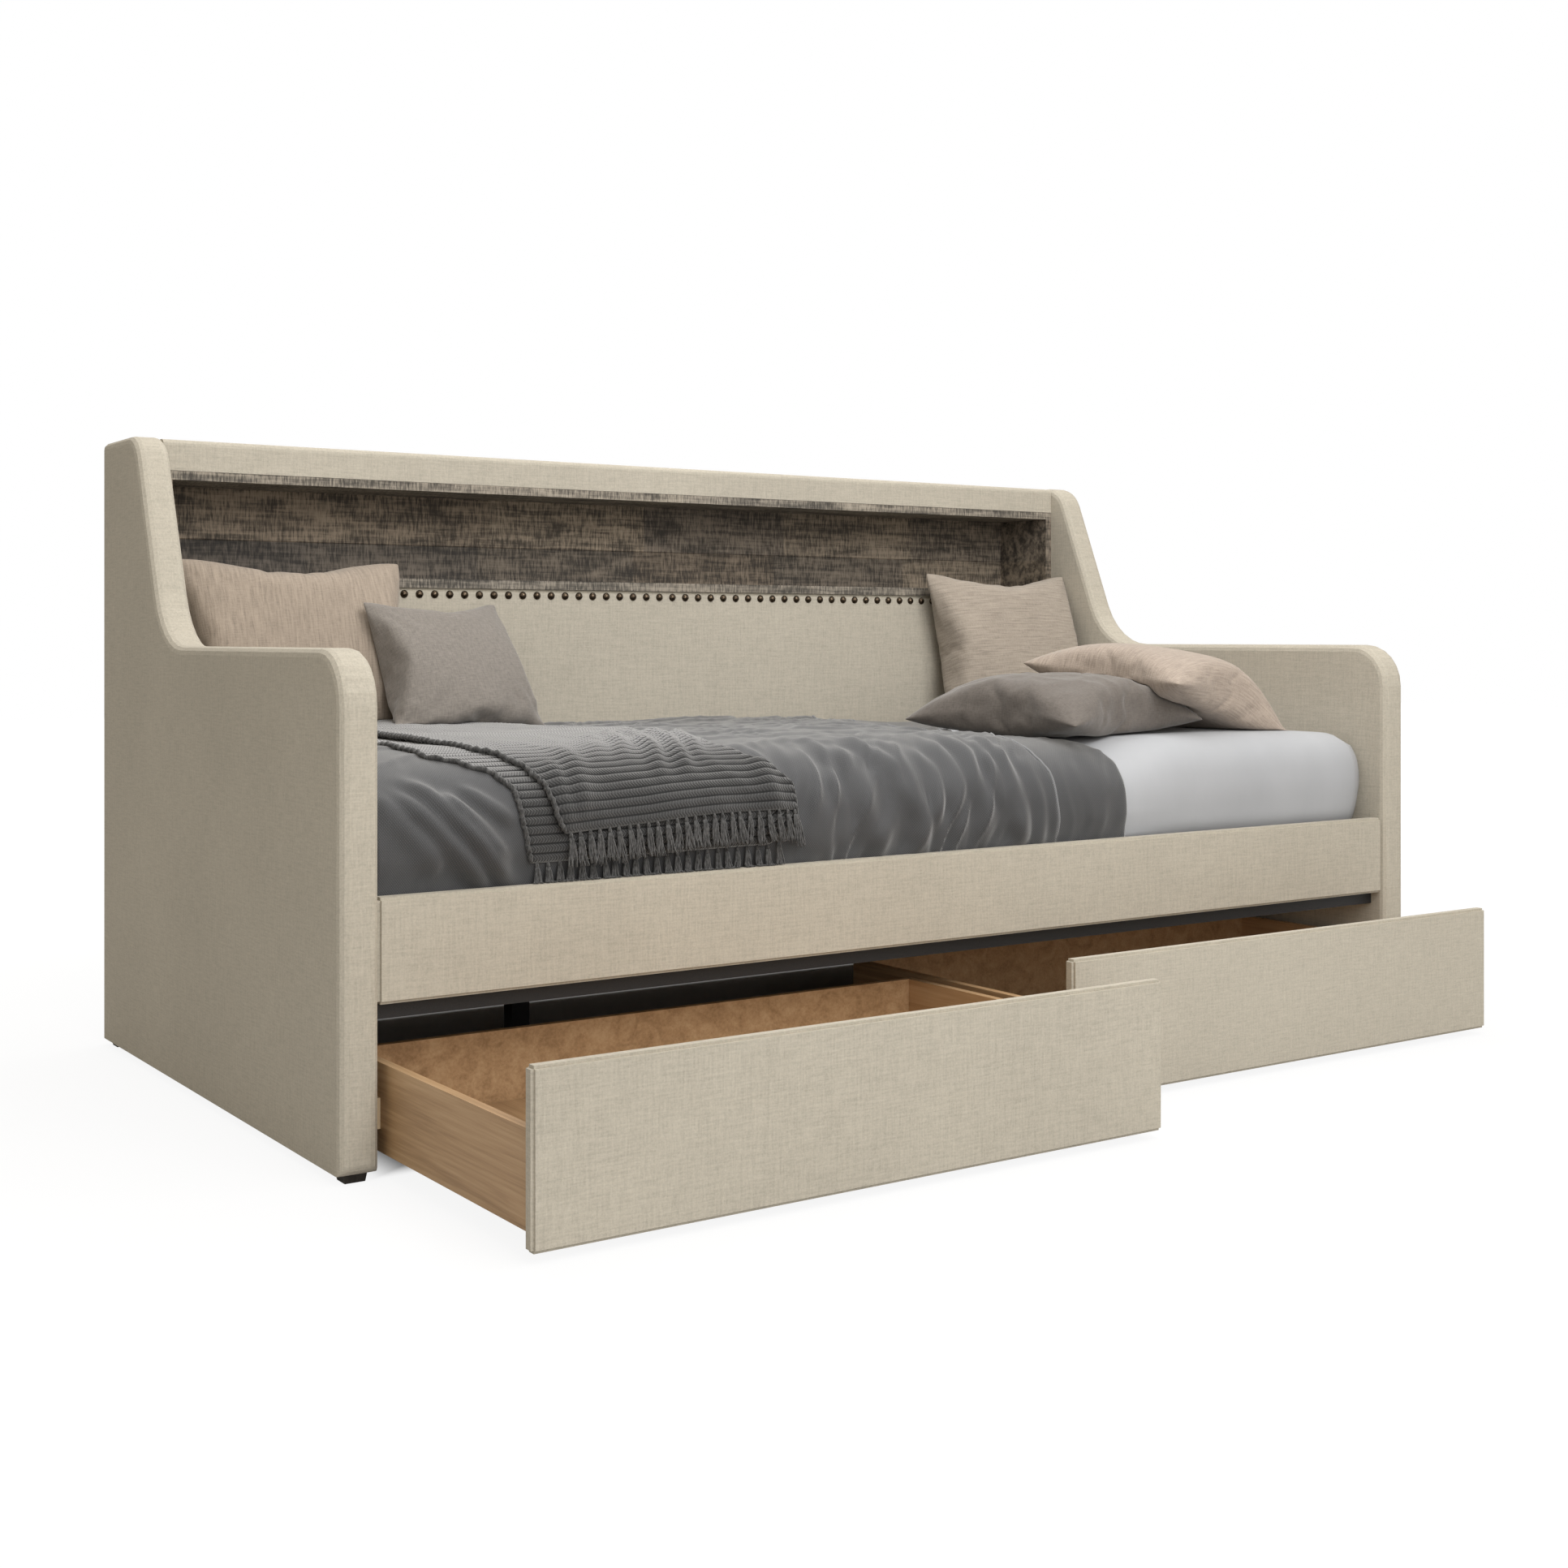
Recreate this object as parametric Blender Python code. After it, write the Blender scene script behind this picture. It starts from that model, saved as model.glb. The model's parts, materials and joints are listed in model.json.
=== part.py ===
"""Upholstered storage daybed with a shelf niche in its back and two rolling drawers.

Units are metres, +Z is up, X runs along the length and the front faces -Y. The origin is on the
floor at the middle of the footprint, with the left drawer pulled out further than the right one.
"""
import math

import bmesh
import bpy
import mathutils

# Mattress, the size that the bed is built round
mattress_length = 1.912
mattress_width = 0.896
mattress_thickness = 0.1955
mattress_corner = 0.060
mattress_bulge = 0.006
mattress_end_gap = 0.009
mattress_end_radius = 0.018
mattress_back_gap = 0.0014
mattress_recess = 0.0365

# Clearances
gap = 0.0003
cloth_gap = 0.0005
overrun = 0.010
merge_distance = 0.00001
sharp_radius = 0.0006

# Arms
arm_thickness = 0.053
arm_height = 0.680
arm_ground_gap = 0.012
arm_edge = 0.0125
arm_corner = 0.014
arm_front_radius = 0.076
wing_rise = 0.002
wing_top_depth = 0.197
wing_base_depth = 0.345
wing_top_radius = 0.066
wing_base_radius = 0.138
padding = 0.012

# Feet
foot_size = 0.031
foot_inset = 0.016
foot_taper = 0.002

# Front rail and slat support
rail_setback = 0.007
rail_thickness = 0.025
rail_bottom = 0.224
rail_height = 0.137
rail_edge = 0.004
duvet_slot = 0.0106
ledger_drop = 0.0225
ledger_flange = 0.035
ledger_plate = 0.003
rear_ledger_height = 0.060
slat_thickness = 0.018
slat_width = 0.062
slat_pitch = 0.132
slat_end_gap = 0.004
tape_width = 0.025
tape_thickness = 0.0015
tape_inset = 0.165
beam_size = 0.040
beam_wall = 0.002
beam_setback = 0.275
leg_size = 0.032
leg_spacing = 0.900
leg_glide = 0.044
leg_glide_height = 0.008

# Back with its niche
back_depth = 0.170
back_height = 1.023
top_rail_height = 0.052
top_rail_edge = 0.010
niche_board = 0.015
niche_height = 0.157
shelf_thickness = 0.016
niche_side_thickness = 0.015
plank_thickness = 0.0058
plank_groove = 0.002
plank_groove_depth = 0.0015
plank_seam_height = 0.067
rear_cover_thickness = 0.006
lower_pad_thickness = 0.028
lower_pad_edge = 0.006
back_bottom = 0.022
back_bottom_board = 0.018
post_width = 0.045

# Nail-head trim
nail_radius = 0.0074
nail_height = 0.0042
nail_pitch = 0.0297
nail_drop = 0.0115
nail_sides = 8
trim_strip_height = 0.0030
trim_strip_thickness = 0.0008

# Drawers
left_pull = 0.432
right_pull = 0.234
front_thickness = 0.020
front_ground_gap = 0.012
front_top_gap = 0.0035
front_side_gap = 0.005
front_middle_gap = 0.010
front_edge = 0.004
drawer_depth = 0.574
side_inset = 0.008
side_thickness = 0.0125
side_height = 0.1155
side_skirt = 0.010
floor_panel = 0.006

# Guide strips on the arms, beside the drawers
guide_clearance = 0.0004
guide_bottom = 0.060
guide_height = 0.040

# Rollers under the drawers
wheel_radius = 0.0125
wheel_width = 0.013
wheel_floor_gap = 0.0003
wheel_clearance = 0.0015
wheel_sides = 16
axle_radius = 0.0030
axle_clearance = 0.0004
axle_wall = 0.0060
axle_end_inset = 0.0010
axle_sides = 10
runner_width = 0.036
runner_web = 0.0132
runner_inset = 0.145
runner_end_gap = 0.020
wheel_inset = 0.050

# Bedding
duvet_thickness = 0.010
duvet_crown = 0.007
duvet_length = 1.314
duvet_end_gap = 0.007
duvet_back_gap = 0.012
duvet_tuck = 0.016
duvet_fold_depth = 0.007
duvet_fold_pitch = 0.118
duvet_skin = 0.004
fold_stations = 3
fold_rest_share = 0.50
fold_wave_share = 0.35
fold_slow_share = 0.15
fold_slow_ratio = 3.7
fold_full_share = 0.50
fold_fade_share = 0.25
throw_front_left = 0.224
throw_back_left = 0.095
throw_layer_step = 0.055
throw_front_width = 0.425
throw_back_width = 0.460
throw_thickness = 0.005
throw_hem_gap = 0.0025
throw_back_gap = 0.020
throw_fold_width = 0.030
throw_rim_share = 0.40
throw_stations = 5

# Cushions
cushion_pinch_share = 0.060
cushion_fullness = 0.42
cushion_steps = 12
blush_width = 0.375
blush_height = 0.315
blush_thickness = 0.110
cream_width = 0.372
cream_height = 0.330
cream_thickness = 0.105
grey_width = 0.305
grey_height = 0.250
grey_thickness = 0.088
flat_width = 0.375
flat_thickness = 0.116
tilted_width = 0.375
tilted_thickness = 0.100

# Where each cushion lies, and its angles in degrees
blush_arm_gap = 0.019
blush_foot_out = 0.105
blush_sink = 0.0315
blush_lean = 12
cream_arm_gap = 0.013
cream_foot_out = 0.131
cream_sink = 0.033
cream_lean = 15
grey_from_arm = 0.471
grey_foot_out = 0.165
grey_sink = 0.0225
grey_lean = 22
grey_turn = 16
flat_from_arm = 0.538
flat_from_front = 0.270
flat_lift = 0.0325
flat_lean = 90
flat_turn = 11.6
tilted_from_arm = 0.291
tilted_from_front = 0.259
tilted_lift = 0.080
tilted_lean = 79.4
tilted_turn = 5.6
tilted_roll = 10.6

# How finely curves are drawn
smooth_angle = 35
edge_steps = 3
corner_steps = 6
mattress_corner_steps = 5
top_rail_corner_steps = 4
bed_flat_steps = 6
bed_turn_steps = 4
bed_drop_steps = 3

# Places worked out from the sizes above
wing_height = back_height + wing_rise
inner_length = mattress_length + 2 * mattress_end_gap
inner_x = inner_length / 2
outer_x = inner_x + arm_thickness
arm_depth = (
    rail_setback + rail_thickness + duvet_slot + mattress_width + mattress_back_gap + back_depth
)
arm_front = (left_pull - rail_setback - arm_depth) / 2
arm_rear = arm_front + arm_depth
rail_face = arm_front + rail_setback
rail_back = rail_face + rail_thickness
rail_top = rail_bottom + rail_height
back_face = arm_rear - back_depth
slat_top = rail_top - mattress_recess
slat_bottom = slat_top - slat_thickness
ledger_top = slat_bottom - gap
mattress_bottom = slat_top + gap
mattress_top = mattress_bottom + mattress_thickness
mattress_front = rail_back + duvet_slot
mattress_rear = mattress_front + mattress_width
top_rail_bottom = back_height - top_rail_height
niche_top = top_rail_bottom - gap - niche_board
shelf_top = niche_top - niche_height
shelf_bottom = shelf_top - shelf_thickness
rear_cover_face = arm_rear - rear_cover_thickness
plank_face = rear_cover_face - gap - plank_thickness
nail_line = shelf_bottom - nail_drop
front_width = (inner_length - 2 * front_side_gap - front_middle_gap) / 2
wheel_axis = wheel_radius + wheel_floor_gap
pocket_top = wheel_axis + wheel_radius + wheel_clearance
floor_underside = pocket_top + runner_web
side_bottom = floor_underside - side_skirt
side_top = side_bottom + side_height
duvet_top = mattress_top + duvet_thickness + duvet_crown
throw_top = duvet_top + 2 * throw_thickness


def clear_scene():
    for item in list(bpy.data.objects):
        bpy.data.objects.remove(item, do_unlink=True)


def make_material(name, color, roughness, metallic=0.0):
    material = bpy.data.materials.new(name)
    material.use_nodes = True
    shader = material.node_tree.nodes["Principled BSDF"]
    shader.inputs["Base Color"].default_value = (*color, 1.0)
    shader.inputs["Roughness"].default_value = roughness
    shader.inputs["Metallic"].default_value = metallic
    material.diffuse_color = (*color, 1.0)
    return material


def linen():
    return make_material("linen_fabric", (0.49, 0.44, 0.35), 0.9)


def rustic_wood():
    return make_material("rustic_wood", (0.10, 0.08, 0.06), 0.6)


def drawer_oak():
    return make_material("drawer_oak", (0.36, 0.24, 0.13), 0.5)


def frame_wood():
    return make_material("frame_wood", (0.50, 0.36, 0.20), 0.7)


def black_steel():
    return make_material("black_steel", (0.012, 0.012, 0.014), 0.45, 1.0)


def black_plastic():
    return make_material("black_plastic", (0.02, 0.018, 0.015), 0.5)


def antique_bronze():
    return make_material("antique_bronze", (0.12, 0.09, 0.06), 0.35, 1.0)


def cloth(name, color):
    return make_material(name, color, 0.95)


def finish_mesh(name, bm, material, smooth=False, soft=False):
    """Link a mesh as an object. A soft one is split into triangles, so that copies match it."""
    bmesh.ops.remove_doubles(bm, verts=bm.verts, dist=merge_distance)
    if soft:
        bmesh.ops.triangulate(bm, faces=bm.faces[:], quad_method="FIXED")
    bmesh.ops.recalc_face_normals(bm, faces=bm.faces)
    if bm.calc_volume(signed=True) < 0:
        bmesh.ops.reverse_faces(bm, faces=bm.faces[:])
    mesh = bpy.data.meshes.new(name)
    bm.to_mesh(mesh)
    bm.free()
    if smooth or soft:
        mesh.shade_smooth()
        mesh.set_sharp_from_angle(angle=math.radians(smooth_angle))
    mesh.materials.append(material)
    item = bpy.data.objects.new(name, mesh)
    bpy.context.scene.collection.objects.link(item)
    return item


def box_bmesh(low, high):
    bm = bmesh.new()
    bmesh.ops.create_cube(bm, size=1)
    size = [b - a for a, b in zip(low, high)]
    middle = [(a + b) / 2 for a, b in zip(low, high)]
    bmesh.ops.scale(bm, vec=size, verts=bm.verts)
    bmesh.ops.translate(bm, vec=middle, verts=bm.verts)
    return bm


def make_box(name, low, high, material, edge=0.0, segments=2):
    bm = box_bmesh(low, high)
    if edge:
        bmesh.ops.bevel(
            bm, geom=bm.edges[:], offset=edge, segments=segments, affect="EDGES"
        )
    return finish_mesh(name, bm, material)


def add_boolean(item, cutter, operation="DIFFERENCE"):
    cutter.hide_render = True
    cutter.display_type = "WIRE"
    modifier = item.modifiers.new(cutter.name, "BOOLEAN")
    modifier.operation = operation
    modifier.solver = "EXACT"
    modifier.object = cutter
    return modifier


def bridge_rings(bm, rings, closed=True):
    """Join rings of points, each a list of places, into one skin with a cap at each end."""
    rows = [[bm.verts.new(place) for place in ring] for ring in rings]
    count = len(rows[0])
    for row, following in zip(rows, rows[1:]):
        for index in range(count):
            after = (index + 1) % count
            bm.faces.new((row[index], row[after], following[after], following[index]))
    if closed:
        bm.faces.new(rows[0])
        bm.faces.new(list(reversed(rows[-1])))
    return rows


def rounded_outline(corners, inset=0.0, steps=corner_steps):
    """Outline in a plane from corners (across, up, radius), listed anticlockwise.

    The inset moves every side inwards: outer corners get a smaller radius, inner ones a larger.
    """
    count = len(corners)
    places = [mathutils.Vector((corner[0], corner[1])) for corner in corners]
    ways = [(places[(i + 1) % count] - places[i]).normalized() for i in range(count)]
    inward = [mathutils.Vector((-way.y, way.x)) for way in ways]
    outline = []
    for i in range(count):
        way_in = ways[i - 1]
        way_out = ways[i]
        turn = math.atan2(way_in.cross(way_out), way_in.dot(way_out))
        shift = (inward[i - 1] + inward[i]) / (1 + inward[i - 1].dot(inward[i]))
        corner = places[i] + shift * inset
        side = 1 if turn > 0 else -1
        radius = max(corners[i][2] - side * inset, gap)
        reach = radius * math.tan(abs(turn) / 2)
        centre = corner - way_in * reach + inward[i - 1] * (side * radius)
        start = corner - way_in * reach - centre
        for step in range(steps + 1):
            angle = turn * step / steps
            outline.append(centre + mathutils.Matrix.Rotation(angle, 2) @ start)
    return outline


def arm_corners(bottom):
    """The arm's side outline, from its front foot upwards and back over the wing."""
    return [
        (arm_front, bottom, arm_corner),
        (arm_rear, bottom, arm_corner),
        (arm_rear, wing_height, arm_corner),
        (arm_rear - wing_top_depth, wing_height, wing_top_radius),
        (arm_rear - wing_base_depth, arm_height, wing_base_radius),
        (arm_front, arm_height, arm_front_radius),
    ]


def edge_stations(low, high, radius):
    """Places along X with the inset of a rounded edge at both ends."""
    stations = []
    for step in range(edge_steps + 1):
        angle = math.pi / 2 * step / edge_steps
        stations.append((low + radius * (1 - math.sin(angle)), radius * (1 - math.cos(angle))))
    stations.reverse()
    mirrored = [(low + high - place, inset) for place, inset in reversed(stations)]
    return stations + mirrored


def arm_sides(side):
    return sorted((side * inner_x, side * outer_x))


def make_arm_cover(name, side):
    """Padded linen over the arm's panel, open underneath."""
    low, high = arm_sides(side)
    bm = bmesh.new()
    rings = []
    for place, inset in edge_stations(low, high, arm_edge):
        outline = rounded_outline(arm_corners(arm_ground_gap - inset), inset)
        rings.append([(place, point.x, point.y) for point in outline])
    bridge_rings(bm, rings)
    cover = finish_mesh(name, bm, linen(), smooth=True)
    cavity = bmesh.new()
    bottom = arm_ground_gap - padding - overrun
    outline = rounded_outline(arm_corners(bottom), padding)
    rings = [[(x, point.x, point.y) for point in outline] for x in (low + padding, high - padding)]
    bridge_rings(cavity, rings)
    add_boolean(cover, finish_mesh(name + "_cavity", cavity, linen()))
    return cover


def make_arm_panel(name, side):
    """The board inside the arm, which carries the feet and the rails."""
    low, high = arm_sides(side)
    inset = padding + gap
    outline = rounded_outline(arm_corners(arm_ground_gap + gap - inset), inset)
    bm = bmesh.new()
    bridge_rings(bm, [[(x, p.x, p.y) for p in outline] for x in (low + inset, high - inset)])
    return finish_mesh(name, bm, frame_wood())


def make_foot(name, side, front):
    """A small square glide under the arm's panel."""
    centre_x = side * (inner_x + arm_thickness / 2)
    near = arm_front + foot_inset + foot_size / 2
    far = arm_rear - foot_inset - foot_size / 2
    centre_y = near if front else far
    rings = []
    for height, half in ((0, foot_size / 2 - foot_taper), (arm_ground_gap, foot_size / 2)):
        ring = [(-half, -half), (half, -half), (half, half), (-half, half)]
        rings.append([(centre_x + x, centre_y + y, height) for x, y in ring])
    bm = bmesh.new()
    bridge_rings(bm, rings)
    return finish_mesh(name, bm, black_plastic())


def make_front_rail():
    span = inner_x - gap
    return make_box(
        "front_rail",
        (-span, rail_face, rail_bottom),
        (span, rail_back, rail_top),
        linen(),
        rail_edge,
    )


def make_ledger(name, face, bottom, direction):
    """Black steel angle: an upright plate with a flange on top that the slats lie on."""
    plate = face + direction * ledger_plate
    flange = face + direction * ledger_flange
    under = ledger_top - ledger_plate
    outline = [
        (face, bottom),
        (plate, bottom),
        (plate, under),
        (flange, under),
        (flange, ledger_top),
        (face, ledger_top),
    ]
    span = inner_x - gap
    bm = bmesh.new()
    bridge_rings(bm, [[(x, y, z) for y, z in outline] for x in (-span, span)])
    return finish_mesh(name, bm, black_steel())


def make_centre_beam():
    """Square steel tube under the middle of the slats, behind the closed drawers."""
    span = inner_x - gap
    front = back_face - beam_setback
    low = (-span, front, ledger_top - beam_size)
    high = (span, front + beam_size, ledger_top)
    beam = make_box("centre_beam", low, high, black_steel())
    bore = make_box(
        "centre_beam_bore",
        (low[0] - overrun, low[1] + beam_wall, low[2] + beam_wall),
        (high[0] + overrun, high[1] - beam_wall, high[2] - beam_wall),
        black_steel(),
    )
    add_boolean(beam, bore)
    return beam


def make_centre_leg(name, side):
    centre_x = side * leg_spacing / 2
    centre_y = back_face - beam_setback + beam_size / 2
    rings = []
    for height, size in (
        (0, leg_glide),
        (leg_glide_height, leg_glide),
        (leg_glide_height, leg_size),
        (ledger_top - beam_size - gap, leg_size),
    ):
        half = size / 2
        ring = [(-half, -half), (half, -half), (half, half), (-half, half)]
        rings.append([(centre_x + x, centre_y + y, height) for x, y in ring])
    bm = bmesh.new()
    bridge_rings(bm, rings)
    return finish_mesh(name, bm, black_steel())


def make_slat_roll():
    """Wood slats across the bed, held at their pitch by two woven tapes let into their tops."""
    front = rail_back + gap + ledger_plate + slat_end_gap
    rear = back_face - gap - ledger_plate - slat_end_gap
    reach = inner_x - slat_width
    count = int(2 * reach / slat_pitch) + 1
    bm = bmesh.new()
    for index in range(count):
        centre = (index - (count - 1) / 2) * slat_pitch
        low = (centre - slat_width / 2, front, slat_bottom)
        high = (centre + slat_width / 2, rear, slat_top)
        merge_box(bm, low, high)
    roll = finish_mesh("slat_roll", bm, frame_wood())
    tapes = bmesh.new()
    end = (count - 1) / 2 * slat_pitch + slat_width / 4
    for centre in (front + tape_inset, rear - tape_inset):
        low = (-end, centre - tape_width / 2, slat_top - 2 * tape_thickness)
        high = (end, centre + tape_width / 2, slat_top - tape_thickness)
        merge_box(tapes, low, high)
    add_boolean(roll, finish_mesh("slat_tapes", tapes, frame_wood()), "UNION")
    return roll


def merge_box(bm, low, high):
    part = box_bmesh(low, high)
    mesh = bpy.data.meshes.new("merged_box")
    part.to_mesh(mesh)
    part.free()
    bm.from_mesh(mesh)
    bpy.data.meshes.remove(mesh)


def make_back_top():
    """Padded rail along the top of the back, with soft upper edges."""
    span = inner_x - gap
    corners = [
        (back_face, top_rail_bottom, sharp_radius),
        (arm_rear, top_rail_bottom, sharp_radius),
        (arm_rear, back_height, top_rail_edge),
        (back_face, back_height, top_rail_edge),
    ]
    outline = rounded_outline(corners, 0, top_rail_corner_steps)
    bm = bmesh.new()
    bridge_rings(bm, [[(x, p.x, p.y) for p in outline] for x in (-span, span)])
    return finish_mesh("back_top_rail", bm, linen())


def make_niche():
    """Rustic wood boards round the shelf space."""
    span = inner_x - gap
    rear = plank_face - gap
    shelf_end = span - niche_side_thickness - gap
    make_box(
        "niche_top_board",
        (-span, back_face, niche_top),
        (span, rear, niche_top + niche_board),
        rustic_wood(),
    )
    make_box(
        "niche_shelf_board",
        (-shelf_end, back_face, shelf_bottom),
        (shelf_end, rear, shelf_top),
        rustic_wood(),
    )
    for name, side in (("niche_side_left", -1), ("niche_side_right", 1)):
        near, far = sorted((side * span, side * (span - niche_side_thickness)))
        make_box(name, (near, back_face, shelf_bottom), (far, rear, niche_top - gap), rustic_wood())
    seam = shelf_top + plank_seam_height
    low = shelf_bottom
    high = niche_top + niche_board
    depth = plank_face + plank_groove_depth
    back = plank_face + plank_thickness
    outline = [
        (plank_face, low),
        (back, low),
        (back, high),
        (plank_face, high),
        (plank_face, seam + plank_groove / 2),
        (depth, seam),
        (plank_face, seam - plank_groove / 2),
    ]
    bm = bmesh.new()
    bridge_rings(bm, [[(x, y, z) for y, z in outline] for x in (-span, span)])
    finish_mesh("niche_back_panel", bm, rustic_wood())


def make_back_lower():
    """Padded lower back panel on its posts and bottom board, closed by a cover at the rear."""
    span = inner_x - gap
    top = shelf_bottom - gap
    rear = rear_cover_face - gap
    bottom = back_bottom + back_bottom_board + gap
    pad_back = back_face + lower_pad_thickness
    make_box("back_lower_pad", (-span, back_face, bottom), (span, pad_back, top), linen(),
             lower_pad_edge)
    make_box("back_bottom_board", (-span, back_face, back_bottom),
             (span, rear, back_bottom + back_bottom_board), frame_wood())
    for name, share in (("back_post_left", -1), ("back_post_centre", 0), ("back_post_right", 1)):
        centre = share * (span - post_width / 2)
        make_box(name, (centre - post_width / 2, pad_back + gap, bottom),
                 (centre + post_width / 2, rear, top), frame_wood())
    make_box("rear_cover", (-span, rear_cover_face, back_bottom),
             (span, arm_rear, top_rail_bottom - gap), linen())


def nail_places():
    count = int((inner_length - 2 * nail_radius) / nail_pitch)
    count -= 1 - count % 2
    return [(index - (count - 1) / 2) * nail_pitch for index in range(count)]


def make_nail_trim():
    """Domed nail heads in a row under the shelf, joined by the thin strip they come on."""
    places = nail_places()
    face = back_face - gap
    strip_end = places[-1] + nail_radius / 2
    half = trim_strip_height / 2
    trim = make_box(
        "nail_trim",
        (-strip_end, face - trim_strip_thickness, nail_line - half),
        (strip_end, face, nail_line + half),
        antique_bronze(),
    )
    bm = bmesh.new()
    rim = (nail_radius, face)
    shoulder = (nail_radius * math.cos(math.pi / 4), face - nail_height * math.sin(math.pi / 4))
    for centre in places:
        rows = []
        for radius, depth in (rim, shoulder):
            row = []
            for index in range(nail_sides):
                angle = 2 * math.pi * (index + 0.5) / nail_sides
                x = centre + radius * math.cos(angle)
                z = nail_line + radius * math.sin(angle)
                row.append(bm.verts.new((x, depth, z)))
            rows.append(row)
        tip = bm.verts.new((centre, face - nail_height, nail_line))
        for index in range(nail_sides):
            after = (index + 1) % nail_sides
            bm.faces.new((rows[0][index], rows[0][after], rows[1][after], rows[1][index]))
            bm.faces.new((rows[1][index], rows[1][after], tip))
        bm.faces.new(list(reversed(rows[0])))
    domes = finish_mesh("nail_domes", bm, antique_bronze())
    add_boolean(trim, domes, "UNION")
    return trim


def make_drawer(side, word, pull):
    """One drawer: padded front, oak box with a thin floor, and two runners with rollers."""
    face = rail_face - pull
    middle = side * (front_middle_gap + front_width) / 2
    left = middle - front_width / 2
    right = middle + front_width / 2
    make_box(f"drawer_{word}_front", (left, face, front_ground_gap),
             (right, face + front_thickness, rail_bottom - front_top_gap), linen(), front_edge)
    start = face + front_thickness + gap
    end = face + drawer_depth
    oak = drawer_oak()
    box_left = left + side_inset
    box_right = right - side_inset
    inner_left = box_left + side_thickness + gap
    inner_right = box_right - side_thickness - gap
    make_box(f"drawer_{word}_side_left", (box_left, start, side_bottom),
             (box_left + side_thickness, end, side_top), oak)
    make_box(f"drawer_{word}_side_right", (box_right - side_thickness, start, side_bottom),
             (box_right, end, side_top), oak)
    make_box(f"drawer_{word}_rear", (inner_left, end - side_thickness, side_bottom),
             (inner_right, end, side_top), oak)
    make_box(f"drawer_{word}_floor", (inner_left, start, floor_underside),
             (inner_right, end - side_thickness - gap, floor_underside + floor_panel), oak)
    for place, centre in (("left", left + runner_inset), ("right", right - runner_inset)):
        make_runner(f"drawer_{word}_runner_{place}", centre, start, end)
        for spot, y in roller_places(start, end).items():
            make_roller(f"roller_{word}_{spot}_{place}", centre, y)


def make_drawer_guide(name, side):
    """Wood strip on the arm's inner face that keeps the drawer running straight."""
    near = side * (inner_x - gap)
    far = side * (inner_x - front_side_gap - side_inset + guide_clearance)
    low, high = sorted((near, far))
    return make_box(name, (low, rail_back, guide_bottom),
                    (high, rail_face + drawer_depth, guide_bottom + guide_height), frame_wood())


def roller_places(start, end):
    return {
        "front": start + runner_end_gap + wheel_inset,
        "rear": end - side_thickness - runner_end_gap - wheel_inset,
    }


def make_runner(name, centre, start, end):
    """A batten under the drawer's floor, with a pocket and a cross bore for each roller."""
    half = runner_width / 2
    low = (centre - half, start + runner_end_gap, wheel_axis - axle_wall)
    high = (centre + half, end - side_thickness - runner_end_gap, floor_underside - gap)
    runner = make_box(name, low, high, frame_wood())
    cuts = bmesh.new()
    pocket_half = wheel_width / 2 + wheel_clearance
    reach = wheel_radius + wheel_clearance
    for y in roller_places(start, end).values():
        merge_box(cuts, (centre - pocket_half, y - reach, low[2] - overrun),
                  (centre + pocket_half, y + reach, pocket_top))
    add_boolean(runner, finish_mesh(name + "_pockets", cuts, frame_wood()))
    bores = bmesh.new()
    for y in roller_places(start, end).values():
        radius = (axle_radius + axle_clearance) / math.cos(math.pi / axle_sides)
        ends = (centre - half - overrun, centre + half + overrun)
        bridge_rings(bores, [circle_ring(x, y, wheel_axis, radius, axle_sides) for x in ends])
    add_boolean(runner, finish_mesh(name + "_bores", bores, frame_wood()))
    return runner


def circle_ring(x, y, z, radius, sides):
    ring = []
    for index in range(sides):
        angle = 2 * math.pi * (index + 0.5) / sides
        ring.append((x, y + radius * math.cos(angle), z + radius * math.sin(angle)))
    return ring


def make_roller(name, centre, y):
    """A roller turned in one piece with its axle pin. Its origin is on the pin's axis."""
    pin_half = runner_width / 2 - axle_end_inset
    half = wheel_width / 2
    profile = [
        (-pin_half, axle_radius),
        (-half, axle_radius),
        (-half, wheel_radius),
        (half, wheel_radius),
        (half, axle_radius),
        (pin_half, axle_radius),
    ]
    bm = bmesh.new()
    rings = [circle_ring(x, 0, 0, radius, wheel_sides) for x, radius in profile]
    bridge_rings(bm, rings)
    roller = finish_mesh(name, bm, black_plastic(), smooth=True)
    roller.location = (centre, y, wheel_axis)
    return roller


def inflated_copy(name, source, distance):
    """A cutter: the source's own shape, grown by a small distance."""
    bm = bmesh.new()
    bm.from_mesh(source.data)
    bm.normal_update()
    shifts = [(vertex, vertex.normal * distance) for vertex in bm.verts]
    for vertex, shift in shifts:
        vertex.co += shift
    mesh = bpy.data.meshes.new(name)
    bm.to_mesh(mesh)
    bm.free()
    mesh.materials.append(source.data.materials[0])
    cutter = bpy.data.objects.new(name, mesh)
    cutter.matrix_world = source.matrix_world
    bpy.context.scene.collection.objects.link(cutter)
    return cutter


def clear_of(item, neighbours):
    for neighbour in neighbours:
        name = f"{item.name}_clear_of_{neighbour.name}"[:59]
        add_boolean(item, inflated_copy(name, neighbour, cloth_gap))


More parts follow.
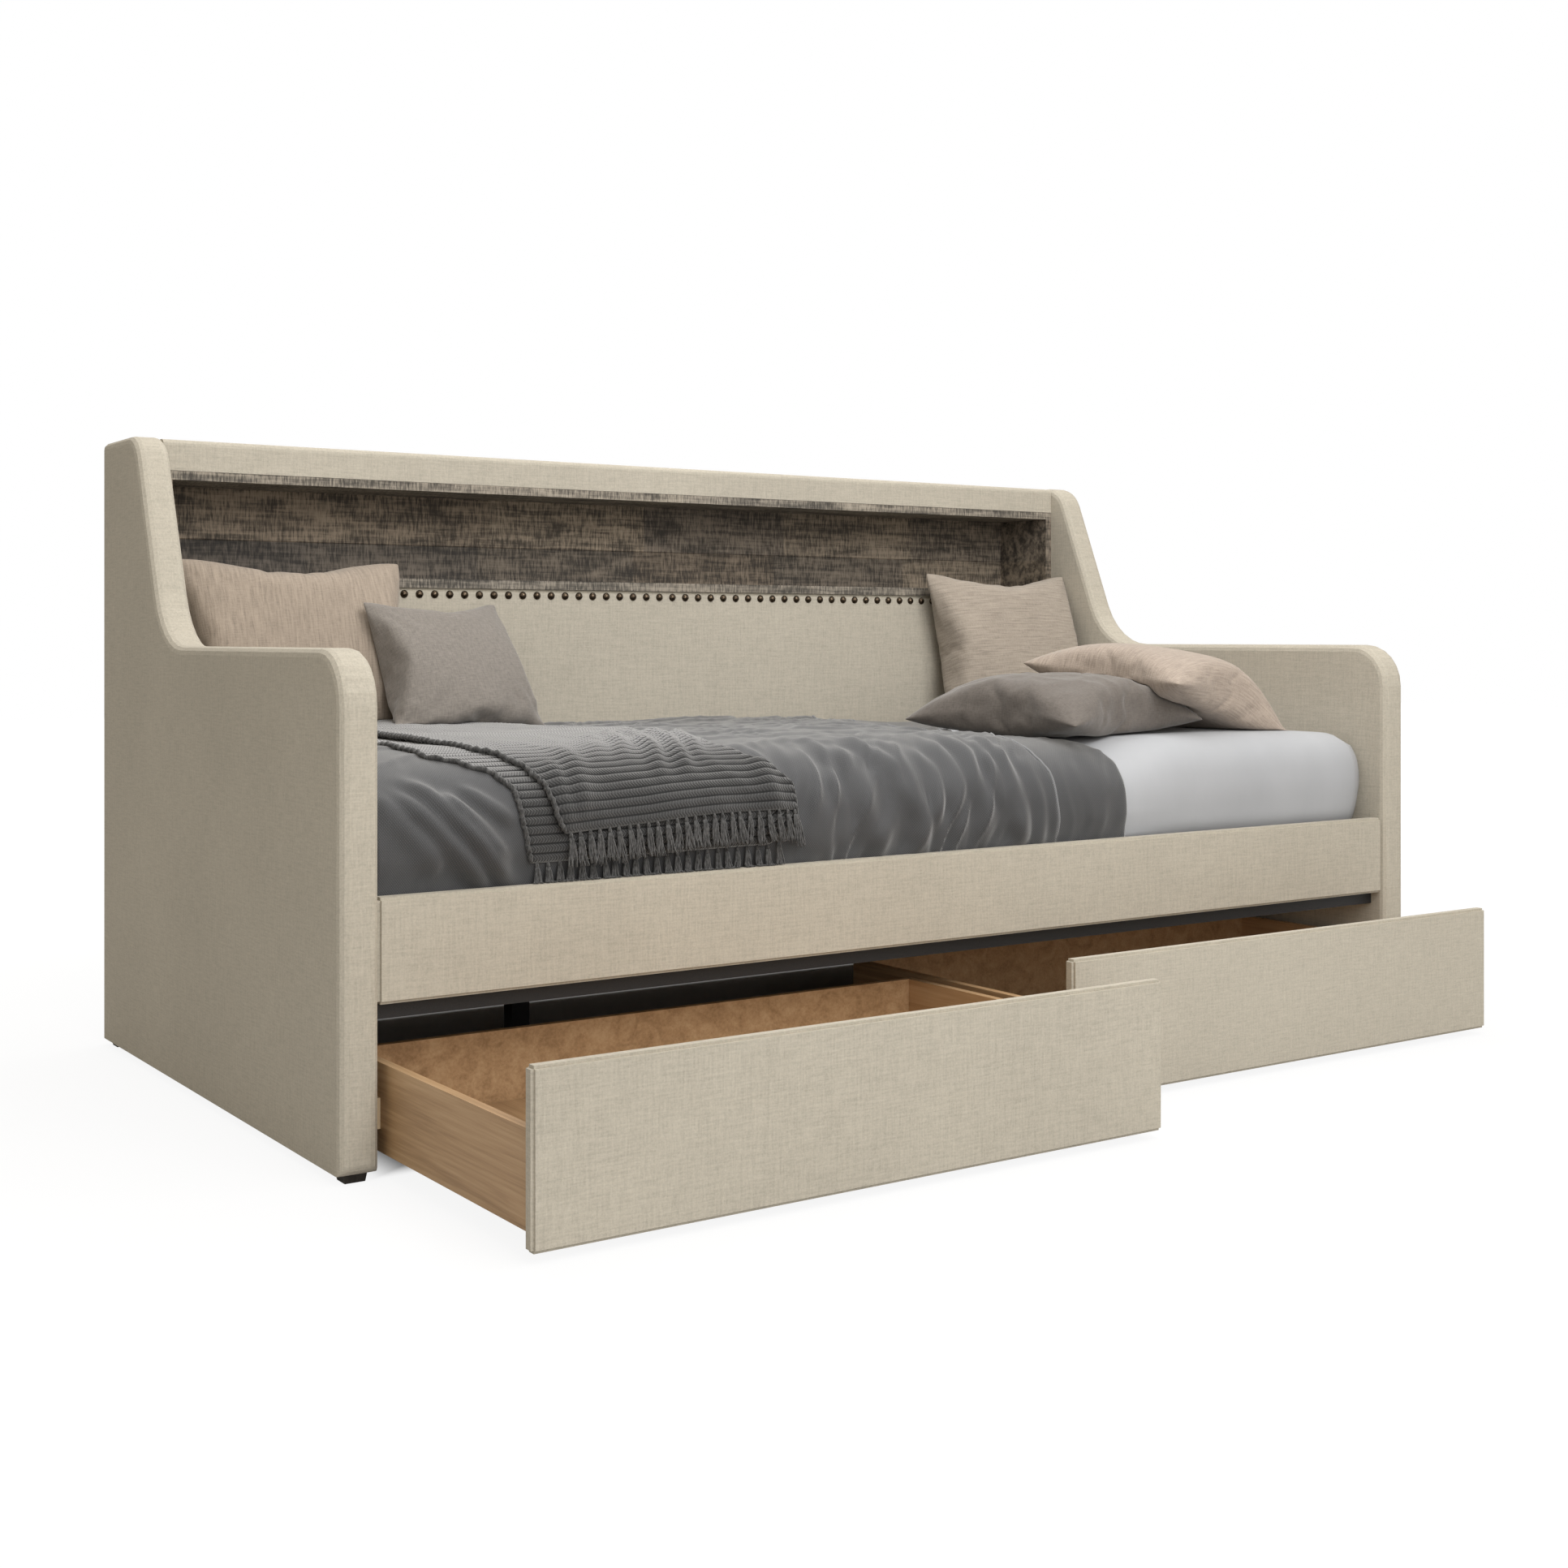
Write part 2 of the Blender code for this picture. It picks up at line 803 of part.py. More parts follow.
def make_mattress():
    """Foam block in a fitted sheet: crowned, with soft edges and slightly full sides."""
    corners = [
        (mattress_front, mattress_bottom, mattress_corner),
        (mattress_rear, mattress_bottom, mattress_corner),
        (mattress_rear, mattress_top, mattress_corner),
        (mattress_front, mattress_top, mattress_corner),
    ]
    half = mattress_length / 2
    middle = (mattress_bottom + mattress_top) / 2
    rings = []
    for place, inset in edge_stations(-half, half, mattress_end_radius):
        ring = []
        for point in rounded_outline(corners, inset, mattress_corner_steps):
            height = (point.y - middle) / mattress_thickness * 2
            waist = mattress_bulge * height * height
            shift = waist if point.x < (mattress_front + mattress_rear) / 2 else -waist
            ring.append((place, point.x + shift, point.y))
        rings.append(ring)
    bm = bmesh.new()
    bridge_rings(bm, rings)
    return finish_mesh("mattress", bm, cloth("white_sheet", (0.62, 0.62, 0.63)), soft=True)


def bed_path(back_y, hem_z):
    """Places and outward ways from the back of the mattress's top, over its front, to a hem."""
    radius = mattress_corner
    front = mattress_front
    path = []
    edge_y = front + radius
    for step in range(bed_flat_steps):
        y = back_y + (edge_y - back_y) * step / bed_flat_steps
        path.append((y, mattress_top, 0.0, 1.0))
    centre_z = mattress_top - radius
    for step in range(bed_turn_steps + 1):
        angle = math.pi / 2 * step / bed_turn_steps
        way = (-math.sin(angle), math.cos(angle))
        path.append((edge_y + radius * way[0], centre_z + radius * way[1], *way))
    drop_z = max(hem_z, rail_top + gap)
    for step in range(1, bed_drop_steps + 1):
        z = centre_z + (drop_z - centre_z) * step / bed_drop_steps
        path.append((front, z, -1.0, 0.0))
    if hem_z < rail_top:
        path.append((front, hem_z, -1.0, 0.0))
    return path


def fold_height(x, z):
    """How far the hanging front of the duvet stands out in its folds, fullest half way down."""
    drop = mattress_top - mattress_corner / 2 - z
    reach = mattress_top - rail_top
    if drop <= 0:
        return 0.0
    amount = min(1.0, drop / (reach * fold_full_share))
    fade = max(0.0, min(1.0, (z - rail_top - gap) / (reach * fold_fade_share)))
    wave = math.sin(2 * math.pi * x / duvet_fold_pitch)
    slow = math.sin(2 * math.pi * x / (duvet_fold_pitch * fold_slow_ratio))
    height = fold_rest_share + fold_wave_share * wave + fold_slow_share * slow
    return duvet_fold_depth * amount * fade * height


def duvet_skin_point(x, place, extra):
    y, z, way_y, way_z = place
    out = duvet_thickness + duvet_crown * way_z + extra
    if way_z < -way_y:
        out += fold_height(x, z)
    return (x, y + way_y * out, z + way_z * out)


def make_duvet(mattress):
    """Duvet over the mattress's top and front, tucked down behind the front rail."""
    left = -inner_x + duvet_end_gap
    path = bed_path(mattress_rear - duvet_back_gap, rail_top - duvet_tuck)
    count = int(duvet_length / duvet_fold_pitch * fold_stations)
    rings = []
    for index in range(count + 1):
        x = left + duvet_length * index / count
        outer = [duvet_skin_point(x, place, 0.0) for place in path]
        inner = [
            (x, y - way_y * duvet_skin, z - way_z * duvet_skin) for y, z, way_y, way_z in path
        ]
        rings.append(outer + list(reversed(inner)))
    bm = bmesh.new()
    bridge_rings(bm, rings)
    duvet = finish_mesh("duvet", bm, cloth("grey_duvet", (0.11, 0.11, 0.115)), soft=True)
    clear_of(duvet, [mattress])
    return duvet


def make_throw(duvet):
    """Ribbed throw folded in two layers across the bed, its ends hanging over the front."""
    path = bed_path(mattress_rear - throw_back_gap, rail_top + throw_hem_gap)
    upper_hem = throw_layer_step / throw_front_width
    fold = 1 - throw_fold_width / throw_front_width
    shares = [0.0, upper_hem]
    for step in range(1, throw_stations + 1):
        shares.append(upper_hem + (fold - upper_hem) * step / throw_stations)
    shares.append(1.0)
    rings = []
    length = len(path) - 1
    for order, share in enumerate(shares):
        outer = []
        inner = []
        for index, place in enumerate(path):
            forward = index / length
            left = throw_back_left + (throw_front_left - throw_back_left) * forward
            across = throw_back_width + (throw_front_width - throw_back_width) * forward
            x = -inner_x + left + across * share
            layers = 1 if order == 0 else 2
            if index == length:
                layers = 1
            rim = throw_rim_share if order in (0, len(shares) - 1) else 1.0
            outer.append(duvet_skin_point(x, place, throw_thickness * layers * rim))
            inner.append(duvet_skin_point(x, place, -duvet_thickness / 2))
        rings.append(outer + list(reversed(inner)))
    bm = bmesh.new()
    bridge_rings(bm, rings)
    throw = finish_mesh("throw", bm, cloth("grey_throw", (0.13, 0.13, 0.135)), soft=True)
    clear_of(throw, [duvet])
    return throw


def make_cushion(name, size, centre, turn, lean, roll, material):
    """Crowned cushion with drawn-in sides. It stands, leans back by an angle, or lies flat."""
    width, height, thickness = size
    steps = cushion_steps
    bm = bmesh.new()

    def spread(share):
        return math.sin(share * math.pi / 2)

    def make_side(sign):
        rows = []
        for i in range(steps + 1):
            row = []
            for j in range(steps + 1):
                a = spread(2 * i / steps - 1)
                b = spread(2 * j / steps - 1)
                x = width / 2 * a * (1 - cushion_pinch_share * (1 - b * b) * a * a)
                z = height / 2 * b * (1 - cushion_pinch_share * (1 - a * a) * b * b)
                full = max(0.0, (1 - a * a) * (1 - b * b)) ** cushion_fullness
                row.append(bm.verts.new((x, sign * thickness / 2 * full, z)))
            rows.append(row)
        for i in range(steps):
            for j in range(steps):
                bm.faces.new((rows[i][j], rows[i + 1][j], rows[i + 1][j + 1], rows[i][j + 1]))

    make_side(-1)
    make_side(1)
    cushion = finish_mesh(name, bm, material, soft=True)
    turned = mathutils.Euler((0, 0, turn)).to_matrix().to_4x4()
    rolled = mathutils.Euler((0, roll, 0)).to_matrix().to_4x4()
    leaned = mathutils.Euler((-lean, 0, 0)).to_matrix().to_4x4()
    place = mathutils.Matrix.Translation(centre)
    cushion.data.transform(place @ turned @ rolled @ leaned)
    return cushion


def standing_centre(x, foot_y, base_z, height, lean, turn=0.0):
    """Centre of a cushion that stands on its lower edge and leans back."""
    run = height / 2 * math.sin(lean)
    rise = height / 2 * math.cos(lean)
    return (x - run * math.sin(turn), foot_y + run * math.cos(turn), base_z + rise)


def make_guide(name, low, high):
    """A plain block standing for what a cushion rests on or leans on, used only to cut it."""
    return make_box(name, low, high, cloth("guide", (0.5, 0.5, 0.5)))


def make_guides():
    """Blocks for the bed's top, the back and both arms, each its small gap larger."""
    near = mattress_front - overrun
    bottom = mattress_bottom
    wall = back_face - gap - nail_height - gap
    duvet_end = -inner_x + duvet_end_gap + duvet_length
    throw_start = -inner_x + throw_back_left
    throw_end = -inner_x + throw_front_left + throw_front_width
    end = outer_x + overrun
    return [
        make_guide("sheet_guide", (-end, near, bottom), (end, arm_rear, mattress_top + cloth_gap)),
        make_guide("duvet_guide", (-end, near, bottom),
                   (duvet_end + cloth_gap, arm_rear, duvet_top + cloth_gap)),
        make_guide("throw_guide", (throw_start - cloth_gap, near, bottom),
                   (throw_end + cloth_gap, arm_rear, throw_top + cloth_gap)),
        make_guide("back_guide", (-end, wall, bottom), (end, arm_rear, wing_height)),
        make_guide("arm_left_guide", (-end, near, bottom), (-inner_x + gap, arm_rear, wing_height)),
        make_guide("arm_right_guide", (inner_x - gap, near, bottom), (end, arm_rear, wing_height)),
    ]


def place_cushion(name, size, centre, turn, lean, roll, material, guides, neighbours):
    cushion = make_cushion(name, size, centre, turn, lean, roll, material)
    for guide in guides:
        add_boolean(cushion, guide)
    clear_of(cushion, neighbours)
    return cushion


def make_cushions():
    guides = make_guides()
    wood_line = back_face - nail_height

    lean = math.radians(blush_lean)
    foot = standing_centre(
        -inner_x + blush_width / 2 + blush_arm_gap,
        wood_line - blush_foot_out,
        duvet_top - blush_sink,
        blush_height,
        lean,
    )
    blush = place_cushion("cushion_blush_back", (blush_width, blush_height, blush_thickness), foot,
                          0.0, lean, 0.0, cloth("blush_slub", (0.52, 0.40, 0.31)), guides, [])

    lean = math.radians(cream_lean)
    foot = standing_centre(
        inner_x - cream_width / 2 - cream_arm_gap,
        wood_line - cream_foot_out,
        mattress_top - cream_sink,
        cream_height,
        lean,
    )
    cream = place_cushion("cushion_cream_back", (cream_width, cream_height, cream_thickness), foot,
                          0.0, lean, 0.0, cloth("cream_slub", (0.58, 0.52, 0.42)), guides, [])

    lean = math.radians(grey_lean)
    turn = math.radians(grey_turn)
    foot = standing_centre(
        -inner_x + grey_from_arm,
        back_face - grey_foot_out,
        throw_top - grey_sink,
        grey_height,
        lean,
        turn,
    )
    place_cushion("cushion_grey_front", (grey_width, grey_height, grey_thickness), foot,
                  turn, lean, 0.0, cloth("grey_weave", (0.30, 0.28, 0.26)), guides, [blush])

    centre = (
        inner_x - flat_from_arm,
        mattress_front + flat_from_front,
        duvet_top + flat_lift,
    )
    flat = place_cushion("cushion_grey_flat", (flat_width, flat_width, flat_thickness), centre,
                         math.radians(flat_turn), math.radians(flat_lean), 0.0,
                         cloth("charcoal_weave", (0.155, 0.145, 0.14)), guides, [])

    centre = (
        inner_x - tilted_from_arm,
        mattress_front + tilted_from_front,
        mattress_top + tilted_lift,
    )
    place_cushion("cushion_blush_tilted", (tilted_width, tilted_width, tilted_thickness), centre,
                  math.radians(tilted_turn), math.radians(tilted_lean), math.radians(tilted_roll),
                  cloth("blush_weave", (0.45, 0.34, 0.27)), guides, [flat, cream])


def main():
    clear_scene()
    for word, side in (("left", -1), ("right", 1)):
        make_arm_cover(f"arm_{word}_cover", side)
        make_arm_panel(f"arm_{word}_panel", side)
        make_foot(f"foot_front_{word}", side, True)
        make_foot(f"foot_rear_{word}", side, False)
    make_front_rail()
    make_ledger("front_ledger", rail_back + gap, rail_bottom - ledger_drop, 1)
    make_ledger("rear_ledger", back_face - gap, ledger_top - rear_ledger_height, -1)
    make_centre_beam()
    make_centre_leg("centre_leg_left", -1)
    make_centre_leg("centre_leg_right", 1)
    make_slat_roll()
    make_back_top()
    make_niche()
    make_back_lower()
    make_nail_trim()
    make_drawer_guide("drawer_guide_left", -1)
    make_drawer_guide("drawer_guide_right", 1)
    make_drawer(-1, "left", left_pull)
    make_drawer(1, "right", right_pull)
    mattress = make_mattress()
    duvet = make_duvet(mattress)
    make_throw(duvet)
    make_cushions()


main()
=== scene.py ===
"""Looks of the upholstered storage daybed, dressed over its packed construction.

Everything is in metres and in the construction's own frame. Hard pieces keep their solids and get
their finish here; the mattress, duvet, throw, cushions and nail heads are modelled here.
"""
import json
import math

import bmesh
import bpy
from mathutils import Matrix, Vector, bvhtree, noise


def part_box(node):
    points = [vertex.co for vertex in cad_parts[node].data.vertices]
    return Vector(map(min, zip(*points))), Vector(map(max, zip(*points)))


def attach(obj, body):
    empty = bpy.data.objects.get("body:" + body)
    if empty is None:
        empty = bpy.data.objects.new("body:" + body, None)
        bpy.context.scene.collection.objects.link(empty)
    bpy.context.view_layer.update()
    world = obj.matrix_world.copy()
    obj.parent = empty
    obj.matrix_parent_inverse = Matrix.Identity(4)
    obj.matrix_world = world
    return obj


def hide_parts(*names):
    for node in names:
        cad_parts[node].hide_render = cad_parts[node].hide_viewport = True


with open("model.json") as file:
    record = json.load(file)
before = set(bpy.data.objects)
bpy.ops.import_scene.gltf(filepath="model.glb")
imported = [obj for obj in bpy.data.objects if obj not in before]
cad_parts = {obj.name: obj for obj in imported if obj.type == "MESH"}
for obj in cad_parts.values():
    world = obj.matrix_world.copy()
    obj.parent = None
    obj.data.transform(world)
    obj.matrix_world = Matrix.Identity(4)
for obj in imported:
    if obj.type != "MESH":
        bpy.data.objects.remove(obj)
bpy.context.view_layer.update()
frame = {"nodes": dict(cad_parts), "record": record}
bpy.ops.object.select_all(action="DESELECT")

# Places read from the construction
arm_low, arm_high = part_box("arm_left_cover")
mattress_low, mattress_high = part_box("mattress")
duvet_low, duvet_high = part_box("duvet")
throw_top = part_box("throw")[1].z
rail_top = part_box("front_rail")[1].z
pad_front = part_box("back_lower_pad")[0].y
nails_low, nails_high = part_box("nail_trim")
panel_low, panel_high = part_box("niche_back_panel")
arm_middle_y = (arm_low.y + arm_high.y) / 2


# Camera, floor and light

def place_camera():
    """A level camera in front of the left arm, with its frame shifted and not tilted."""
    data = bpy.data.cameras.new("camera")
    data.sensor_width = 36
    data.lens = 45.79
    data.shift_x = -0.0666
    data.shift_y = -0.0933
    camera = bpy.data.objects.new("camera", data)
    camera.location = (-1.9349, arm_middle_y - 2.9886, 0.6934)
    camera.rotation_euler = (math.radians(90), 0, math.radians(-36.02))
    bpy.context.scene.collection.objects.link(camera)
    bpy.context.scene.camera = camera


def place_lamp(name, place, aim, size, power):
    """A large square soft lamp that points at a place."""
    data = bpy.data.lights.new(name, "AREA")
    data.size = size
    data.energy = power
    lamp = bpy.data.objects.new(name, data)
    lamp.location = place
    lamp.visible_camera = False
    way = Vector(aim) - Vector(place)
    lamp.rotation_euler = way.to_track_quat("-Z", "Y").to_euler()
    bpy.context.scene.collection.objects.link(lamp)


def make_world():
    """Even white surroundings, dimmer for the light that reaches the bed than for the eye."""
    world = bpy.data.worlds.new("studio")
    bpy.context.scene.world = world
    world.use_nodes = True
    graph = Graph(world.node_tree)
    path = graph.node("LightPath").outputs
    seen = graph.math("MAXIMUM", path["Is Camera Ray"], path["Is Glossy Ray"])
    seen = graph.math("MAXIMUM", seen, path["Is Transmission Ray"])
    backdrop = graph.tree.nodes["Background"].inputs
    graph.put(backdrop["Color"], graph.mix(seen, (1.0, 0.92, 0.80), (1.0, 1.0, 1.0)))
    graph.put(backdrop["Strength"], graph.spread(seen, 0.0, 1.0, 0.51, 1.0, "LINEAR"))


def make_floor():
    """A plain pale floor that shows as white beside the bed and keeps its shadow."""
    bpy.ops.mesh.primitive_plane_add(size=30, location=(0, 0, 0))
    floor = bpy.context.object
    floor.name = "floor"
    bpy.ops.object.transform_apply(location=True, rotation=True, scale=True)
    paper = Finish("floor_paper", 0.9)
    paper.set("Base Color", (0.50, 0.50, 0.50))
    glow = paper.node("Emission", {"Color": (1, 1, 1), "Strength": 1.12})
    place = paper.place()
    away = paper.node("VectorMath", {0: place}, operation="LENGTH").outputs["Value"]
    spot = paper.node("SeparateXYZ", {"Vector": place}).outputs
    bed_centre_y = 0.21
    from_centre = paper.math("ABSOLUTE", paper.math("SUBTRACT", spot["Y"], bed_centre_y))
    beside = paper.spread(paper.math("ABSOLUTE", spot["X"]), 0.88, 0.98, 0.0, 1.0)
    before = paper.spread(from_centre, 0.47, 0.54, 0.0, 1.0)
    share = paper.spread(away, 1.3, 4.0, 0.80, 1.0)
    share = paper.times(share, paper.math("MAXIMUM", beside, before))
    share = paper.times(share, paper.node("LightPath").outputs["Is Camera Ray"])
    mixed = paper.node("MixShader", {0: share, 1: paper.shader.outputs[0], 2: glow.outputs[0]})
    paper.put(paper.tree.nodes["Material Output"].inputs["Surface"], mixed.outputs[0])
    floor.data.materials.append(paper.material)


# Nodes of the finishes

class Graph:
    """A node tree, with a short call for each kind of node that the looks need."""

    def __init__(self, tree):
        self.tree = tree

    def put(self, socket, value):
        """Give a socket a value, a colour without its alpha, or another node's output."""
        if isinstance(value, bpy.types.NodeSocket):
            self.tree.links.new(value, socket)
        else:
            socket.default_value = (*value, 1) if socket.type == "RGBA" else value

    def node(self, kind, inputs=None, **settings):
        made = self.tree.nodes.new("ShaderNode" + kind)
        for name, value in settings.items():
            setattr(made, name, value)
        for name, value in (inputs or {}).items():
            self.put(made.inputs[name], value)
        return made

    def noise(self, place, scale, detail=2.0, roughness=0.5, distortion=0.0):
        """Noise whose pattern has its own scale along each axis, as (x, y, z) or one number."""
        if not hasattr(scale, "__len__"):
            scale = (scale, scale, scale)
        mapping = self.node("Mapping", {"Vector": place, "Scale": scale})
        made = self.node("TexNoise", {"Vector": mapping.outputs[0], "Scale": 1.0, "Detail": detail,
                                      "Roughness": roughness, "Distortion": distortion})
        return made.outputs["Fac"]

    def threads(self, place, pitch, run):
        """Slubby threads that run along each of the three axes, as one height from 0 to 1."""
        fine = 1 / pitch
        long = 1 / run
        ways = ((long, fine, fine), (fine, fine, long), (fine, long, fine))
        return self.total(*((self.noise(place, way, 3, 0.6), 1 / 3) for way in ways))

    def math(self, operation, first, second=0.0):
        return self.node("Math", {0: first, 1: second}, operation=operation).outputs[0]

    def times(self, first, second):
        return self.math("MULTIPLY", first, second)

    def total(self, *parts):
        """Sum of outputs, each with its share."""
        products = [value if share == 1 else self.times(value, share) for value, share in parts]
        result = products[0]
        for product in products[1:]:
            result = self.math("ADD", result, product)
        return result

    def spread(self, value, low, high, first, last, easing="SMOOTHSTEP"):
        """A value's way from low to high, turned into a way from first to last."""
        made = self.node("MapRange", {"Value": value, "From Min": low, "From Max": high,
                                      "To Min": first, "To Max": last},
                         interpolation_type=easing)
        return made.outputs["Result"]

    def ramp(self, value, stops, color=(1.0, 1.0, 1.0)):
        """Colours along a value. Each stop is a place, and a colour or a share of the colour."""
        made = self.node("ValToRGB", {"Fac": value})
        points = made.color_ramp.elements
        while len(points) < len(stops):
            points.new(0.5)
        for point, (place, shade) in zip(points, stops):
            if not isinstance(shade, tuple):
                shade = [part * shade for part in color]
            point.position = place
            point.color = (*shade, 1)
        return made.outputs["Color"]

    def mix(self, share, first, second, blend="MIX"):
        made = self.node("Mix", data_type="RGBA", blend_type=blend)
        for name, value in (("Factor", share), (6, first), (7, second)):
            self.put(made.inputs[name], value)
        return made.outputs[2]


class Finish(Graph):
    """A material, its graph and its shader."""

    def __init__(self, name, roughness, metallic=0.0):
        self.material = bpy.data.materials.new(name)
        self.material.use_nodes = True
        super().__init__(self.material.node_tree)
        self.shader = self.tree.nodes["Principled BSDF"]
        self.set("Roughness", roughness)
        self.set("Metallic", metallic)

    def set(self, name, value):
        self.put(self.shader.inputs[name], value)

    def place(self):
        return self.node("TexCoord").outputs["Object"]

    def cloth(self):
        """The place on the flat cloth."""
        return self.node("UVMap", uv_map="cloth").outputs[0]

    def sheen(self, weight, roughness=0.5):
        self.set("Sheen Weight", weight)
        self.set("Sheen Roughness", roughness)

    def complete(self, tone, height, strength, distance):
        """Give the shader its colour and relief."""
        bump = self.node("Bump", {"Height": height, "Strength": strength, "Distance": distance})
        self.set("Base Color", tone)
        self.set("Normal", bump.outputs[0])
        return self


# Finishes of the construction

def linen_finish():
    """Oatmeal linen, plain woven, with slubs in both directions."""
    finish = Finish("oatmeal_linen", 0.92)
    place = finish.place()
    threads = finish.threads(place, 0.0027, 0.036)
    fine = finish.threads(place, 0.0013, 0.008)
    tone = finish.ramp(threads, [(0.38, 0.86), (0.50, 1), (0.62, 1.10)], (0.495, 0.458, 0.385))
    grain = finish.ramp(fine, [(0.36, (0.84, 0.83, 0.81)), (0.60, 1.06)])
    wear = finish.ramp(finish.noise(place, 3.0), [(0.3, 0.95), (0.7, 1.03)])
    tone = finish.mix(0.55, tone, grain, "MULTIPLY")
    tone = finish.mix(1.0, tone, wear, "MULTIPLY")
    finish.set("Specular IOR Level", 0.25)
    return finish.complete(tone, finish.total((threads, 1), (fine, 0.6)), 0.45, 0.0010)


def rustic_finish(name, lightest, tone_share):
    """Sawn reclaimed planks: grain along X, cross saw marks, each plank of its own tone, and painted
    shade that darkens the lower row.
    """
    finish = Finish(name, 0.75)
    place = finish.place()
    spot = finish.node("SeparateXYZ", {"Vector": place}).outputs
    seam = panel_low.z + (panel_high.z - panel_low.z) * 0.44
    row = finish.math("GREATER_THAN", spot["Z"], seam)
    count = finish.math("DIVIDE", finish.total((spot["X"], 1), (row, 0.31)), 0.335)
    plank = finish.total((finish.math("FLOOR", count), 1), (row, 37.0))
    chance = finish.node("TexWhiteNoise", {"W": plank}, noise_dimensions="1D").outputs["Value"]
    grain = finish.noise(place, (10, 150, 150), 6, 0.62, 0.4)
    marks = finish.noise(place, (330, 60, 48), 4, 0.6)
    patches = finish.noise(place, (7, 20, 22), 3, 0.6, 0.8)
    mixed = finish.total((finish.total((grain, 0.42), (marks, 0.58)), 0.72), (patches, 0.28))
    tone = finish.ramp(mixed, [(0.42, 0.15), (0.48, 0.38), (0.535, 0.72), (0.60, 1)], lightest)
    cast = finish.ramp(chance, [(0.0, (0.50, 0.50, 0.54)), (0.35, (1.06, 1.01, 0.95)),
                                (0.7, (0.74, 0.68, 0.65)), (1.0, (1.28, 1.24, 1.18))])
    tone = finish.mix(tone_share, tone, cast, "MULTIPLY")
    # Painted shade: the planks below the seam are darkened, by up to 28 percent.
    depth = finish.spread(row, 0.0, 1.0, 1 - 0.28 * tone_share, 1.0)
    return finish.complete(finish.mix(depth, (0.0, 0.0, 0.0), tone), mixed, 0.6, 0.0015)


def oak_finish():
    """Pale oak boards with a satin lacquer, grain along the board."""
    finish = Finish("pale_oak", 0.48)
    place = finish.place()
    pores = finish.noise(place, (260, 7, 260), 5, 0.6, 0.3)
    bands = finish.noise(place, (30, 1.6, 34), 3, 0.5, 1.2)
    mixed = finish.total((pores, 0.45), (bands, 0.55))
    tone = finish.ramp(mixed, [(0.34, (0.31, 0.185, 0.090)), (0.50, (0.45, 0.285, 0.150)),
                               (0.66, (0.55, 0.370, 0.210))])
    return finish.complete(tone, pores, 0.25, 0.0006)


def plain_finish(name, roughness, patterns, stops, relief, color=(1, 1, 1), metallic=0.0,
                 on_cloth=False):
    """A finish whose tone and relief both follow a sum of noises, each ending in its share."""
    finish = Finish(name, roughness, metallic)
    place = finish.cloth() if on_cloth else finish.place()
    height = finish.total(*((finish.noise(place, *pattern), share) for *pattern, share in patterns))
    return finish.complete(finish.ramp(height, stops, color), height, *relief)


def pine_finish():
    """Plain frame timber, with soft growth rings."""
    return plain_finish("frame_pine", 0.65, [((14, 14, 3), 4, 0.55, 1.0, 1)],
                        [(0.35, (0.40, 0.27, 0.14)), (0.5, (0.52, 0.38, 0.22)),
                         (0.65, (0.60, 0.46, 0.29))], (0.2, 0.0008))


def steel_finish():
    """Black powder coat on steel."""
    return plain_finish("black_powder_coat", 0.5, [(900, 2, 1)],
                        [(0.35, (0.012, 0.012, 0.013)), (0.65, (0.022, 0.022, 0.023))],
                        (0.3, 0.0003))


def bronze_finish():
    """Aged bronze: brown on the rim and in the pits, bright where a hand rubs."""
    return plain_finish("aged_bronze", 0.33, [(420, 4, 0.6, 1)],
                        [(0.35, (0.030, 0.022, 0.015)), (0.55, (0.085, 0.062, 0.042)),
                         (0.72, (0.170, 0.128, 0.085))], (0.2, 0.0004), metallic=1.0)


def plastic_finish():
    """Dark moulded plastic of the glides and rollers, scuffed a little."""
    finish = Finish("dark_plastic", 0.5)
    scuffs = finish.noise(finish.place(), (160, 160, 30), 4, 0.6)
    tone = finish.ramp(scuffs, [(0.4, (0.016, 0.013, 0.010)), (0.7, (0.040, 0.033, 0.026))])
    finish.set("Roughness", finish.ramp(scuffs, [(0.4, 0.45), (0.7, 0.65)]))
    return finish.complete(tone, scuffs, 0.15, 0.0003)


def finish_construction():
    """Put a finish on every node that stays as it is in the construction."""
    by_slot = {}
    for entry in frame["record"]["subparts"]:
        by_slot.setdefault(entry["material_slot"], []).append(entry["node"])
    trim = rustic_finish("rustic_trim", (0.40, 0.355, 0.29), 0.25)
    for finish, names in (
            (linen_finish(), by_slot["linen_fabric"]),
            (rustic_finish("rustic_planks", (0.400, 0.340, 0.265), 1.0), by_slot["rustic_wood"]),
            (trim, ("niche_top_board", "niche_shelf_board")),
            (oak_finish(), by_slot["drawer_oak"]),
            (pine_finish(), by_slot["frame_wood"]),
            (steel_finish(), by_slot["black_steel"]),
            (plastic_finish(), by_slot["black_plastic"]),
            (bronze_finish(), by_slot["antique_bronze"])):
        for name in names:
            materials = frame["nodes"][name].data.materials
            materials.clear()
            materials.append(finish.material)


# Finishes of the bedding

def sheet_finish():
    """White cotton percale, nearly smooth, with a trace of ironed creases."""
    finish = Finish("white_percale", 0.85)
    place = finish.place()
    threads = finish.threads(place, 0.0016, 0.010)
    soft = finish.noise(place, (9, 9, 5), 3, 0.5)
    tone = finish.ramp(soft, [(0.3, (0.392, 0.403, 0.424)), (0.7, (0.428, 0.439, 0.460))])
    finish.sheen(0.10)
    return finish.complete(tone, finish.total((threads, 0.15), (soft, 1)), 0.25, 0.004)


